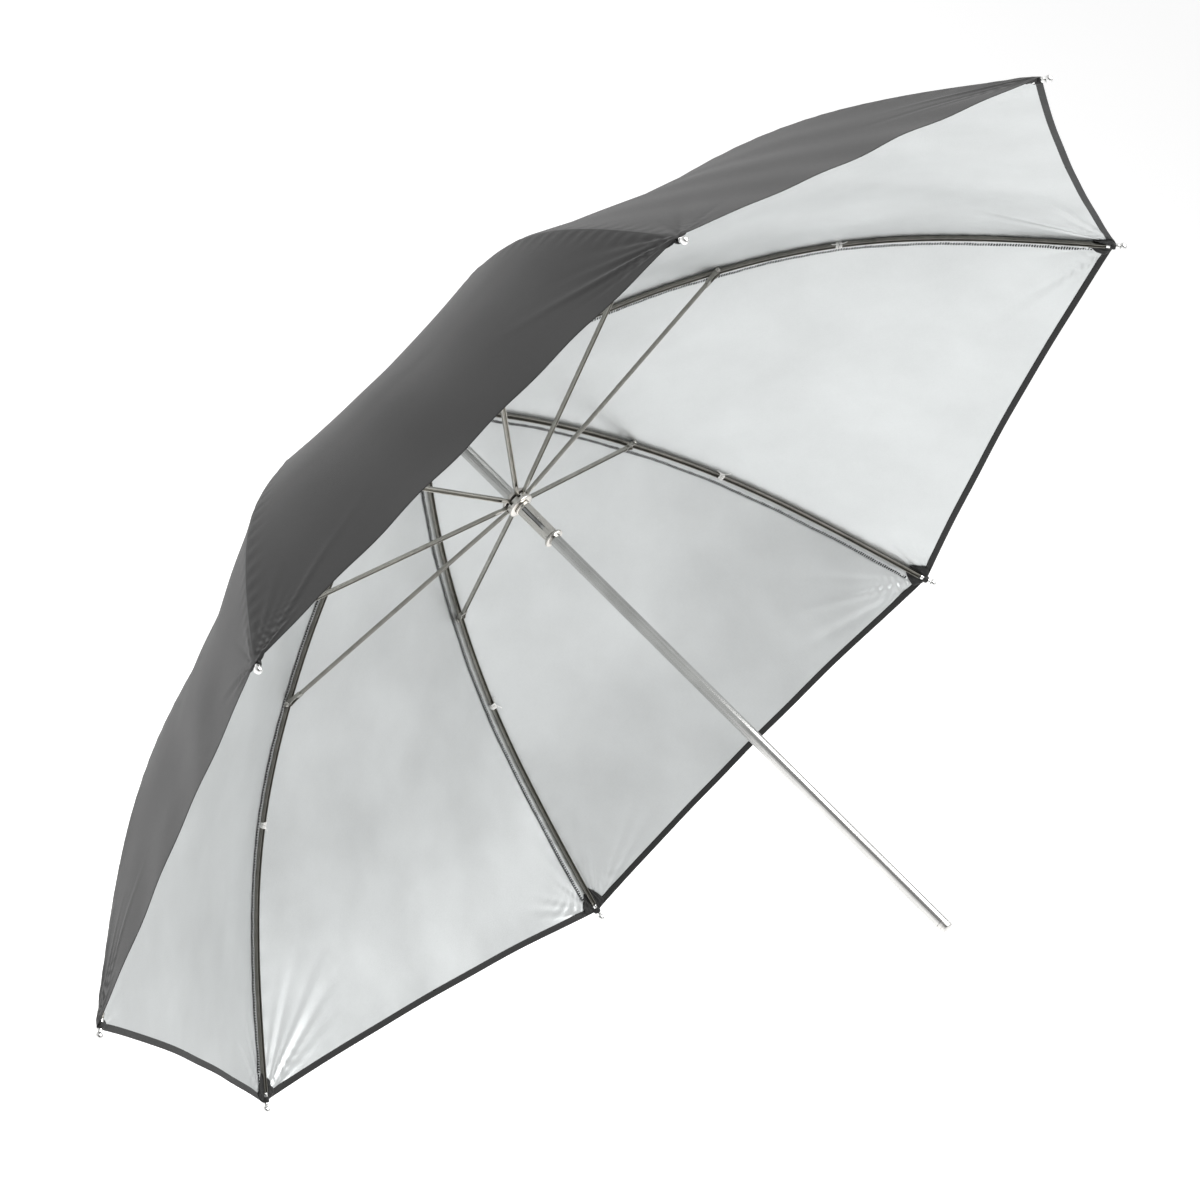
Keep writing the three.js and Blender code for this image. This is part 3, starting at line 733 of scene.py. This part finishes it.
def seam_point(g, k, side, r, y, drop):
    """Point under the inner face beside rib k, at distance y, drop millimetres inside it. Row frame, metres."""
    r, y, drop = np.broadcast_arrays(np.asarray(r, float), np.asarray(y, float), np.asarray(drop, float))
    v = np.clip(y / np.maximum(r * math.sin(STEP), 1), 0, 0.5)
    vv = v if side > 0 else 1 - v
    p, nrm, _ = base_point(r, vv, SKIN_OFF)
    h = relief(g, r, vv)
    p = p + nrm * (h - drop)[..., None]
    if side < 0:
        p = turn(p, STEP)
    return place((k - 1) * STEP, p)


def seam_allowance(k):
    """Silver seam allowance pressed to one side of the rib, with an overlocked edge of dark thread."""
    side, g = 1, k - 1
    rng = np.random.default_rng(300 + k)
    s = np.arange(arc(15.0), arc(CORNER_R) - 9.0, 3.1)
    r = at_arc(s)
    wob = 0.35 * np.sin(s / 9.0 + k) + 0.25 * np.sin(s / 23.0 + 2 * k)
    taper = np.clip((s - s[0]) / 40, 0.35, 1)
    cols = np.array([0.0, 0.34, 0.67, 1.0])
    y = 0.35 + (5.9 * taper + 0.4 * wob)[:, None] * cols[None]
    sink = (0.30 + 0.55 * cols[None] + 0.30 * (wob[:, None] * cols[None]))
    top = seam_point(g, k, side, r[:, None], y, sink * 0 + 0.08 + 0.30 * cols[None] + 0.12 * wob[:, None] * cols[None] + 0.1)
    low = seam_point(g, k, side, r[:, None], y, 0.08 + 0.30 * cols[None] + 0.12 * wob[:, None] * cols[None] + 0.1 + 0.38)
    n, m = len(s), len(cols)
    ring = np.concatenate([top, low[:, ::-1]], 1)
    verts, faces = ring_stack(ring)
    parts = Parts()
    parts.add(verts, faces, 0)
    # overlock loops wrapped over the free edge
    for q in np.arange(s[0] + 1.0, s[-1] - 1.0, 1.75):
        w = 0.48 + rng.uniform(-0.06, 0.1)
        rr = at_arc(np.array([q - w, q + w]))
        tq = float(np.interp(q, s, 5.9 * taper + 0.4 * wob)) + 0.35
        wq = float(np.interp(q, s, wob))
        reach = 1.45 + rng.uniform(-0.2, 0.25)
        ys = np.array([tq - reach, tq - 0.35, tq + 0.28, tq + 0.28, tq - 0.35, tq - reach])
        base = 0.08 + 0.30 * (ys / 6.0) + 0.12 * wq + 0.1
        dr = np.array([-0.12, -0.16, 0.0, 0.38, 0.58, 0.52]) + base
        lean = rng.uniform(0.1, 0.5)
        cross = seam_point(g, k, side, rr[:, None] + np.array([0, 0, lean, lean, 0, 0])[None], ys[None], dr[None])
        v2, f2 = ring_stack(cross)
        parts.add(v2, f2, 1)
    ob = parts.make(f"seam_allowance_{k}", [SILVER, THREAD_BLACK], 50)
    return bend(cloth_attr(ob))


def corner_lobe(k, side):
    """Gathered black cloth at the corner, beside the tip's shank."""
    g = (k - 1) if side > 0 else (k - 2) % 8
    rng = np.random.default_rng(500 + 2 * k + (side > 0))
    n, m = 15, 12
    back = np.linspace(0.2, 15.5 + rng.uniform(-1.5, 2.5), n)
    r = at_arc(arc(CORNER_R) - 0.6 - back)
    reach = 1.9 + (6.2 + rng.uniform(-0.6, 0.8)) * (1 - (back / back[-1]) ** 1.6) * np.clip((back + 3.2) / 5, 0, 1) + 0.7
    fan = np.linspace(0, 1, m)
    y = 1.75 + (reach - 1.75)[:, None] * fan[None]
    ridges = 0.34 * np.sin(fan[None] * 17 + 0.5 * np.sin(back[:, None] / 3)) * np.clip(back[:, None] / 3, 0.3, 1) * np.clip(1.1 - fan[None], 0, 1) ** 0.4
    swell = 1.15 * (1 - fan[None] ** 2.2) * (1 - (back[:, None] / back[-1]) ** 2) + ridges
    top = seam_point(g, k, side, r[:, None], y, 0.5 + 0 * swell)
    low = seam_point(g, k, side, r[:, None], y, 1.0 + np.maximum(swell, -0.25))
    ring = np.concatenate([top, low[:, ::-1]], 1)
    verts, faces = ring_stack(ring)
    ob = build(f"corner_gather_{half_name(k, side)}_on_rib_{k}", verts, faces, [HEM], None, 60)
    return bend(cloth_attr(ob))


def corner_strap(k):
    """Small black loop of tape that holds the shank in the corner."""
    f = (k - 1) * STEP
    tip_s = float(arc(CORNER_R))
    rings = []
    for q in (0.2, 0.9, 2.0, 3.1, 3.8):
        r = float(at_arc(tip_s - q))
        s = float(slope(r))
        kk = math.hypot(1, s)
        nrm = np.array([-s / kk, 0, 1 / kk])
        c = np.array([r, 0, float(rib_a(r))])
        swell = 0.25 if 0.5 < q < 3.5 else 0.0
        path = []
        for t in np.linspace(-0.15 * math.pi, 1.15 * math.pi, 13):
            path.append(c + (2.25 + swell) * (math.cos(t) * np.array([0, 1, 0]) - math.sin(t) * nrm) + nrm * 0.1)
        inner = []
        for t in np.linspace(1.15 * math.pi, -0.15 * math.pi, 13):
            inner.append(c + 1.85 * (math.cos(t) * np.array([0, 1, 0]) - math.sin(t) * nrm) + nrm * 0.1)
        rings.append(place(f, np.array(path + inner)))
    verts, faces = ring_stack(np.array(rings))
    ob = build(f"corner_strap_{k}", verts, faces, [HEM], None, 50)
    return ride(cloth_attr(ob), f"rib_{k}", "canopy_black")


def thread_tie(k):
    """A few turns of thread round the rib and through the seam, with two short ends."""
    f = (k - 1) * STEP
    rng = np.random.default_rng(700 + k)
    parts = Parts()
    s0 = float(arc(TIE_R))
    for i, q in enumerate((-1.5, -0.75, 0.0, 0.8, 1.5)):
        loop = []
        for t in np.linspace(0, 2 * math.pi, 22, endpoint=False):
            ct, st = math.cos(t), math.sin(t)
            yy = 1.95 * abs(ct) ** 0.5 * np.sign(ct)
            hh = 0.30 + (1.30 if st > 0 else 1.98) * abs(st) ** 0.5 * np.sign(st)
            r = float(at_arc(s0 + q + 0.35 * math.sin(t + i)))
            s = float(slope(r))
            kk = math.hypot(1, s)
            c = np.array([r, yy, float(rib_a(r))]) + hh * np.array([-s / kk, 0, 1 / kk])
            loop.append(c)
        v, fc = tube_path(place(f, np.array(loop)), 0.00036, 6, loop=True)
        parts.add(v, fc)
    for sgn in (1, -1):
        pts = []
        bend_y = rng.uniform(2.5, 4.5)
        for u in np.linspace(0, 1, 9):
            r = float(at_arc(s0 + sgn * 0.6 + 5.0 * u * sgn * rng.uniform(0.9, 1.0)))
            s = float(slope(r))
            kk = math.hypot(1, s)
            yy = -1.9 - bend_y * u * (1.0 if sgn > 0 else 0.5)
            hh = 0.2 - 1.0 * u - 0.8 * math.sin(3.0 * u)
            pts.append(np.array([r, yy, float(rib_a(r))]) + hh * np.array([-s / kk, 0, 1 / kk]))
        v, fc = tube_path(place(f, np.array(pts)), 0.0003, 5)
        parts.add(v, fc)
    ob = parts.make(f"thread_tie_{k}", [THREAD_WHITE], 60)
    return ride(cloth_attr(ob), f"rib_{k}")


# ------------------------------------------------------------------ frame of the umbrella
def plate(outline, y0, y1, chamfer=0.0):
    """Outline [(x, z)] pushed from y0 to y1, as rings of (x, y, z), with small chamfers."""
    o = np.array(outline, float)
    c = o.mean(0)
    rings = []
    steps = [(y0, chamfer), (y0 + chamfer, 0), (y1 - chamfer, 0), (y1, chamfer)] if chamfer else [(y0, 0), (y1, 0)]
    for y, inset in steps:
        d = o - c
        q = c + d * (1 - inset / np.maximum(np.linalg.norm(d, axis=1), 0.5))[:, None]
        rings.append(np.stack([q[:, 0], np.full(len(q), y), q[:, 1]], -1))
    return np.array(rings)


CHANNEL = np.array([
    (-1.6, 0.85), (-1.48, 1.15), (-1.15, 1.3), (1.15, 1.3), (1.48, 1.15), (1.6, 0.85), (1.6, -1.12), (1.5, -1.3),
    (1.12, -1.3), (1.05, -1.15), (1.05, 0.55), (0.9, 0.75), (-0.9, 0.75), (-1.05, 0.55), (-1.05, -1.15), (-1.12, -1.3), (-1.5, -1.3), (-1.6, -1.12)])

tip_r = TIP_R - 1
tip_tan = np.array([1.0, float(slope(tip_r))])
tip_tan /= np.linalg.norm(tip_tan)
tip_end = np.array([TIP_R, float(rib_a(TIP_R))])
rib_to = float(TIP_R - tip_tan[0] * (2.5 - 0.5 + 9.0 + 0.3))


def make_rib(k):
    f = (k - 1) * STEP
    parts = Parts()
    rings = []
    for r in np.concatenate([[12.6], np.arange(16, rib_to - 3, 6.5), [rib_to]]):
        s = float(slope(r))
        kk = math.hypot(1, s)
        nrm = np.array([-s / kk, 0, 1 / kk])
        c = np.array([r, 0, float(rib_a(r))])
        rings.append(c + CHANNEL[:, 0:1] * np.array([0, 1.0, 0]) + CHANNEL[:, 1:2] * nrm)
    parts.add(*ring_stack(place(f, np.array(rings))))
    s0 = math.atan(float(slope(PIVOT_R)))
    arcpts = [(PIVOT_R + 1.6 * math.cos(t), NOTCH_A + 1.6 * math.sin(t)) for t in np.linspace(s0 + math.pi / 2, s0 + 1.5 * math.pi, 11)]
    root = 17.0
    eye = arcpts + [(root, float(rib_a(root)) - 0.9), (root, float(rib_a(root)) + 0.8)]
    parts.add(*ring_stack(place(f, plate(eye, -0.6, 0.6, 0.12))))
    ob = parts.make(f"rib_channel_{k}", [STEEL], 35)
    return ride(ob, f"rib_{k}", "frame_steel", f"rib_{k}")


def make_tip(k):
    f = (k - 1) * STEP
    axis = place(f, np.array([tip_tan[0], 0, tip_tan[1]])) - place(f, np.zeros(3))
    axis = axis.ravel() / np.linalg.norm(axis)
    b = 2.5
    start = math.asin(1.7 * 0.62 / b)
    neck = -b * math.cos(start)
    prof = [(0, -11.0), (1.36, -11.0), (1.62, -10.8), (1.7, -10.5), (1.7, -6.6), (1.5, -6.35), (1.5, -6.05), (1.7, -5.8), (1.7, neck - 0.5), (1.4, neck - 0.25), (1.054, neck - 0.1)]
    for i in range(1, 12):
        t = start + (math.pi - start) * i / 12
        prof.append((b * math.sin(t), -b * math.cos(t)))
    prof.append((0, b))
    o = place(f, np.array([tip_end[0], 0, tip_end[1]])).ravel()
    v, fc = revolve([(x / 1000, z / 1000) for x, z in prof], 24, o, axis, tvec(f))
    parts = Parts()
    parts.add(v, fc)
    return ride(parts.make(f"tip_ball_{k}", [TIP], 40), f"rib_{k}", "tip", f"rib_tip_{k}")


def make_rivet(k):
    f = (k - 1) * STEP
    half = 2.9
    prof = [(0, -half - 0.8), (0.7, -half - 0.76), (1.25, -half - 0.6), (1.65, -half - 0.28), (1.8, -half), (0.75, -half),
            (0.75, half), (1.8, half), (1.65, half + 0.28), (1.25, half + 0.6), (0.7, half + 0.76), (0, half + 0.8)]
    o = place(f, np.array([JOINT_R, 0, JOINT_A])).ravel()
    v, fc = revolve([(x / 1000, z / 1000) for x, z in prof], 24, o, tvec(f), YAXIS)
    parts = Parts()
    parts.add(v, fc)
    return ride(parts.make(f"joint_rivet_{k}", [RIVET], 40), f"rib_{k}", "rivet", f"rib_rivet_{k}")


S_VEC = np.array([JOINT_R - PIVOT_R, JOINT_A - CROWN_A])
S_LEN = float(np.linalg.norm(S_VEC))
S_ANG = math.atan2(S_VEC[1], S_VEC[0])


def stretch_place(f, p):
    """Stretcher frame: x from the runner's wire along the bar, z towards the canopy."""
    p = np.asarray(p, float)
    c, s = math.cos(S_ANG), math.sin(S_ANG)
    q = np.stack([PIVOT_R + p[..., 0] * c - p[..., 2] * s, p[..., 1], CROWN_A + p[..., 0] * s + p[..., 2] * c], -1)
    return place(f, q)


def make_stretcher(k):
    f = (k - 1) * STEP
    L = S_LEN
    w, h, t = 1.5, 1.1, 0.55
    sec = np.array([(-w, h - 0.4), (-w + 0.12, h - 0.12), (-w + 0.4, h), (w - 0.4, h), (w - 0.12, h - 0.12), (w, h - 0.4), (w, -h + 0.12), (w - 0.12, -h),
                    (w - t + 0.1, -h), (w - t, -h + 0.12), (w - t, h - t - 0.2), (w - t - 0.2, h - t), (-w + t + 0.2, h - t), (-w + t, h - t - 0.2),
                    (-w + t, -h + 0.12), (-w + t - 0.1, -h), (-w + 0.12, -h), (-w, -h + 0.12)])
    parts = Parts()
    xs = [4.2, 6.5, 9.0] + list(np.linspace(20, L - 24, 8)) + [L - 15, L - 11.6]
    rings = []
    for x in xs:
        pinch = 0.62 if x < 5 else 0.82 if x < 7 else 1.0
        flare = 1.0 + (0.12 if x > L - 13 else 0)
        rings.append(np.stack([np.full(len(sec), x), sec[:, 0] * pinch * flare, sec[:, 1]], -1))
    parts.add(*ring_stack(stretch_place(f, np.array(rings))))
    eye = [(1.6 * math.cos(a), 1.6 * math.sin(a)) for a in np.linspace(math.pi / 2, 1.5 * math.pi, 11)] + [(5.2, -0.95), (9, -0.9), (9, 0.9), (5.2, 0.95)]
    parts.add(*ring_stack(stretch_place(f, plate(eye, -0.6, 0.6, 0.12))))
    base = [(L - 12.2, -1.1), (L - 8.6, -1.1), (L - 8.6, 1.1), (L - 12.2, 1.1)]
    parts.add(*ring_stack(stretch_place(f, plate(base, -2.58, 2.58, 0.25))))
    ear = [(L - 12.2, -1.1), (L - 5, -1.25)] + [(L + 1.9 * math.cos(a), 1.9 * math.sin(a)) for a in np.linspace(-math.pi / 2, math.pi / 2, 13)] + [(L - 5, 1.25), (L - 12.2, 1.1)]
    for y0, y1 in ((1.95, 2.6), (-2.6, -1.95)):
        parts.add(*ring_stack(stretch_place(f, plate(ear, y0, y1, 0.1))))
    ob = parts.make(f"stretcher_bar_{k}", [STEEL_LIGHT], 35)
    return ride(ob, f"stretcher_{k}", "frame_steel", f"stretcher_{k}")


def sectors(profile, segs=9, half=1.0):
    parts = []
    n = len(profile)
    for k in range(8):
        f0 = k * STEP
        rings = []
        for i in range(segs + 1):
            ring = []
            for rad, a in profile:
                e = math.asin(min(1, half / rad))
                x = f0 + e + (STEP - 2 * e) * i / segs
                ring.append(place(x, np.array([rad, 0, a])).ravel())
            rings.append(ring)
        parts.append(ring_stack(np.array(rings)))
    return parts


# ------------------------------------------------------------------ build everything
tip_gap = 0.3
# shaft
parts = Parts()
parts.add(*tube_with_window(3.4, 4.0, [-269.6, -269.2, -200, -120, -40, 20, 60, 120, 160, 207.0], 64, 1.2, 87.0, 107.0))
ride(parts.make("shaft_tube_fine", [CHROME], 35), "root", "shaft", "shaft_tube")
parts = Parts()
parts.add(*shaft_lathe([(0, -275.0), (2.7, -275.0), (3.2, -274.93), (3.62, -274.7), (3.88, -274.35), (4.0, -273.9), (4.0, -272.6), (3.78, -272.4),
                        (3.78, -272.0), (4.0, -271.8), (4.0, -269.9), (3.15, -269.9), (3.15, -261.6), (0, -261.6)], 64))
ride(parts.make("shaft_cap_fine", [CAP], 35), "root", "end_cap", "shaft_end_cap")

# top notch
a = NOTCH_A
parts = Parts()
parts.add(*shaft_lathe([(4.25, a + 1.95), (8.42, a + 1.95), (8.5, a + 2.05), (8.5, a + 2.55), (8.3, a + 2.9), (7.9, a + 3.1), (4.25, a + 3.1)]))
parts.add(*shaft_lathe([(4.25, a - 5.0), (5.4, a - 5.0), (5.4, a + 2.1), (4.25, a + 2.1)]))
for v, fc in sectors([(5.2, a - 5.0), (7.5, a - 5.0), (7.9, a - 4.85), (8.3, a - 4.5), (8.5, a - 4.1), (8.5, a - 0.95), (8.4, a - 0.85), (6.7, a - 0.85), (6.7, a + 0.85),
                      (8.4, a + 0.85), (8.5, a + 0.95), (8.5, a + 2.0), (5.2, a + 2.0)]):
    parts.add(v, fc)
ride(parts.make("top_notch_fine", [NICKEL], 35), "root", "nickel", "top_notch")

# runner
a = CROWN_A
parts = Parts()
parts.add(*shaft_lathe([(4.3, a - 5.2), (7.9, a - 5.2), (8.3, a - 5.1), (8.7, a - 4.85), (8.9, a - 4.5), (8.9, a - 2.7), (8.8, a - 2.6), (4.3, a - 2.6)]))
parts.add(*shaft_lathe([(4.3, a - 2.7), (5.4, a - 2.7), (5.4, a + 3.4), (4.3, a + 3.4)]))
for v, fc in sectors([(5.2, a - 2.7), (8.9, a - 2.7), (8.9, a - 0.95), (8.8, a - 0.85), (6.7, a - 0.85), (6.7, a + 0.85), (8.8, a + 0.85), (8.9, a + 0.95), (8.9, a + 2.6),
                      (8.75, a + 3.0), (8.5, a + 3.25), (8.1, a + 3.4), (5.2, a + 3.4)]):
    parts.add(v, fc)
ride(parts.make("runner_crown_fine", [NICKEL], 35), "runner", "nickel", "runner_crown")

parts = Parts()
parts.add(*tube_with_window(4.3, 4.9, [78.9, 80, 84.5, 90, 96, 103.5, 104.8], 64, 1.3, 84.5, 103.5))
parts.add(*shaft_lathe([(4.3, 104.8), (4.9, 104.75), (5.3, 104.85), (5.5, 105.1), (5.5, 105.9), (5.35, 106.15), (5.2, 106.2), (4.3, 106.2)]))
for x in (math.radians(62), math.radians(118)):      # rolled lengthwise ribs that stiffen the sleeve
    for sgn in (1, -1):
        g0 = CATCH + sgn * x
        rings = []
        for aa in (80.6, 81.4, 90, 98, 103.2, 104.0):
            hgt = 0.16 if 81 < aa < 103.6 else 0.02
            rings.append([(place(g0 + w / 4.9, np.array([4.86 + hgt * e, 0, aa]))).ravel() for w, e in ((-0.55, 0), (-0.3, 0.8), (0, 1), (0.3, 0.8), (0.55, 0), (0, -0.6))])
        parts.add(*ring_stack(np.array(rings)))
ride(parts.make("runner_sleeve_fine", [NICKEL], 30), "runner", "nickel", "runner_sleeve")
parts = Parts()
parts.add(*shaft_lathe([(4.3, 76.0), (6.2, 76.0), (6.55, 76.12), (6.78, 76.45), (6.8, 76.8), (6.8, 77.2), (6.7, 77.6), (6.4, 77.95), (6.0, 78.15), (5.2, 78.4), (4.9, 78.6), (4.3, 78.6)]))
ride(parts.make("runner_flange_fine", [NICKEL], 35), "runner", "nickel", "runner_flange")

# both pivot wires, twisted off at one place
for nm, aa, body, cad in (("top_wire_fine", NOTCH_A, "root", "top_notch_wire"), ("crown_wire_fine", CROWN_A, "runner", "runner_crown_wire")):
    parts = Parts()
    ang = np.linspace(0, 2 * math.pi, 96, endpoint=False)
    parts.add(*tube_path([place(x, np.array([7.55, 0, aa])).ravel() for x in ang], 0.00052, 8, loop=True))
    x0 = 2.5 * STEP
    for sgn in (0, math.pi):
        pts = []
        for u in np.linspace(0, 1, 12):
            x = u * 5.0 + sgn
            pts.append(place(x0 + 0.05 * math.cos(x) * (1 - 0.3 * u), np.array([7.9 + 0.9 * u, 0, aa + 0.45 * math.sin(x) - 0.2 * u])).ravel())
        parts.add(*tube_path(pts, 0.0004, 6))
    ride(parts.make(nm, [WIRE], 50), body, "wire", cad)

# apex
parts = Parts()
parts.add(*shaft_lathe([(4.3, 204.9), (7.8, 204.9), (8.0, 205.1), (8.0, 205.4), (7.8, 205.6), (4.3, 205.6)]))
ride(parts.make("apex_washer_fine", [RUBBER], 35), "root", "washer", "apex_washer")
parts = Parts()
parts.add(*shaft_lathe([(0, 207.3), (4.3, 207.3), (4.3, 205.9), (8.3, 205.9), (8.55, 206.1), (8.6, 206.6), (8.35, 207.2), (7.6, 208.2), (6.6, 208.95), (5.4, 209.6), (4.1, 210.1), (2.8, 210.42), (1.4, 210.57), (0, 210.6)]))
ride(parts.make("apex_ferrule_fine", [NICKEL], 35), "root", "nickel", "apex_ferrule")

# the two small CAD parts that stay as they are
for nm, mt, sl in (("stop_pin", NICKEL, "nickel"), ("catch_spring", SPRING, "spring")):
    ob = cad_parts[nm]
    ob.data.materials.clear()
    ob.data.materials.append(mt)

# ribs, stretchers, tips, rivets, ties, cloth
for k in range(1, 9):
    make_rib(k)
    make_tip(k)
    make_rivet(k)
    make_stretcher(k)
    thread_tie(k)
    corner_strap(k)
    allowance = seam_allowance(k)
    for side in (1, -1):
        hn = half_name(k, side)
        lobe = corner_lobe(k, side)
        for band in range(5):
            ob, w, l, area = band_mesh(f"canopy_{hn}_on_rib_{k}_patch_{band + 1}", k, side, band)
            bend(ob)
            if band == 0:
                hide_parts(f"gore_{hn}_on_rib_{k}")
            w = max(w, 0.0102)
            l = max(l, area / w)

# ------------------------------------------------------------------ floor, light, camera
def floor():
    n = 24
    half = 60.0
    z = -1.25
    xs = np.linspace(-half, half, n)
    verts = [(x, y, z) for y in xs for x in xs]
    faces = [(j * n + i, j * n + i + 1, (j + 1) * n + i + 1, (j + 1) * n + i) for j in range(n - 1) for i in range(n - 1)]
    m, nt, b = material("pale_floor")
    soft = noise(nt, coords(nt, (0.4, 0.4, 0.4)), 1.0, 1.0)
    c = ramp(nt, soft, [(0.3, (0.86, 0.86, 0.86)), (0.7, (0.88, 0.88, 0.88))])
    nt.links.new(c, b.inputs["Base Color"])
    b.inputs["Roughness"].default_value = 0.9
    b.inputs["Specular IOR Level"].default_value = 0.1
    b.inputs["Emission Color"].default_value = (1, 1, 1, 1)
    b.inputs["Emission Strength"].default_value = 0.40
    ob = build("floor", verts, faces, [m], None, 0)


floor()

scene = bpy.context.scene
scene.view_settings.view_transform = "Standard"
scene.view_settings.look = "None"
scene.view_settings.exposure = 0.0
scene.view_settings.gamma = 1.0

world = bpy.data.worlds.new("studio")
scene.world = world
world.use_nodes = True
wn = world.node_tree
bg = wn.nodes["Background"]
tc = wn.nodes.new("ShaderNodeTexCoord")
dot = wn.nodes.new("ShaderNodeVectorMath")
dot.operation = "DOT_PRODUCT"
wn.links.new(tc.outputs["Generated"], dot.inputs[0])
dot.inputs[1].default_value = Vector((-0.80, -0.58, 0.02)).normalized()
wr = wn.nodes.new("ShaderNodeValToRGB")
wr.color_ramp.elements[0].position = 0.10
wr.color_ramp.elements[0].color = (0.86, 0.87, 0.88, 1)
wr.color_ramp.elements[1].position = 0.95
wr.color_ramp.elements[1].color = (0.05, 0.052, 0.055, 1)
wn.links.new(dot.outputs["Value"], wr.inputs["Fac"])
split = wn.nodes.new("ShaderNodeSeparateXYZ")
wn.links.new(tc.outputs["Generated"], split.inputs[0])
haze = wn.nodes.new("ShaderNodeValToRGB")
haze.color_ramp.elements[0].position = 0.17
haze.color_ramp.elements[0].color = (1.22, 1.22, 1.22, 1)
haze.color_ramp.elements[1].position = 0.20
haze.color_ramp.elements[1].color = (0, 0, 0, 1)
wn.links.new(split.outputs["Z"], haze.inputs["Fac"])
most = wn.nodes.new("ShaderNodeMath")
most.operation = "MAXIMUM"
wn.links.new(wr.outputs["Color"], most.inputs[0])
wn.links.new(haze.outputs["Color"], most.inputs[1])
wn.links.new(most.outputs[0], bg.inputs["Color"])
bg.inputs["Strength"].default_value = 0.82


def area(name, loc, target, size, energy, colour=(1, 1, 1)):
    d = bpy.data.lights.new(name, "AREA")
    d.shape = "RECTANGLE"
    d.size, d.size_y = size
    d.energy = energy
    d.color = colour
    ob = bpy.data.objects.new(name, d)
    ob.location = loc
    ob.rotation_mode = "QUATERNION"
    ob.rotation_quaternion = (Vector(target) - Vector(loc)).to_track_quat("-Z", "Y")
    scene.collection.objects.link(ob)
    return ob


area("top_soft", (0.2, -0.3, 2.9), (0.0, 0.2, 0.0), (3.4, 3.4), 215)
area("front_low", (0.8, -3.2, 0.2), (0.1, 0.3, -0.1), (2.2, 1.6), 5)

cam_data = bpy.data.cameras.new("camera")
cam = bpy.data.objects.new("camera", cam_data)
scene.collection.objects.link(cam)
scene.camera = cam
right = Vector((0.48642517, -0.66985662, 0.56096583))
up = Vector((0.05808779, 0.66541428, 0.74421075))
fwd = Vector((0.87178918, 0.32941757, -0.36258474))
rot = Matrix((right, up, -fwd)).transposed()
cam.matrix_world = Matrix.Translation((-2.6074, -0.7424, 1.0769)) @ rot.to_4x4()
cam_data.sensor_fit = "HORIZONTAL"
cam_data.sensor_width = 36.0
cam_data.lens = 4850.6 / 1200 * 36.0
cam_data.clip_start, cam_data.clip_end = 0.05, 80.0
cam_data.dof.use_dof = False
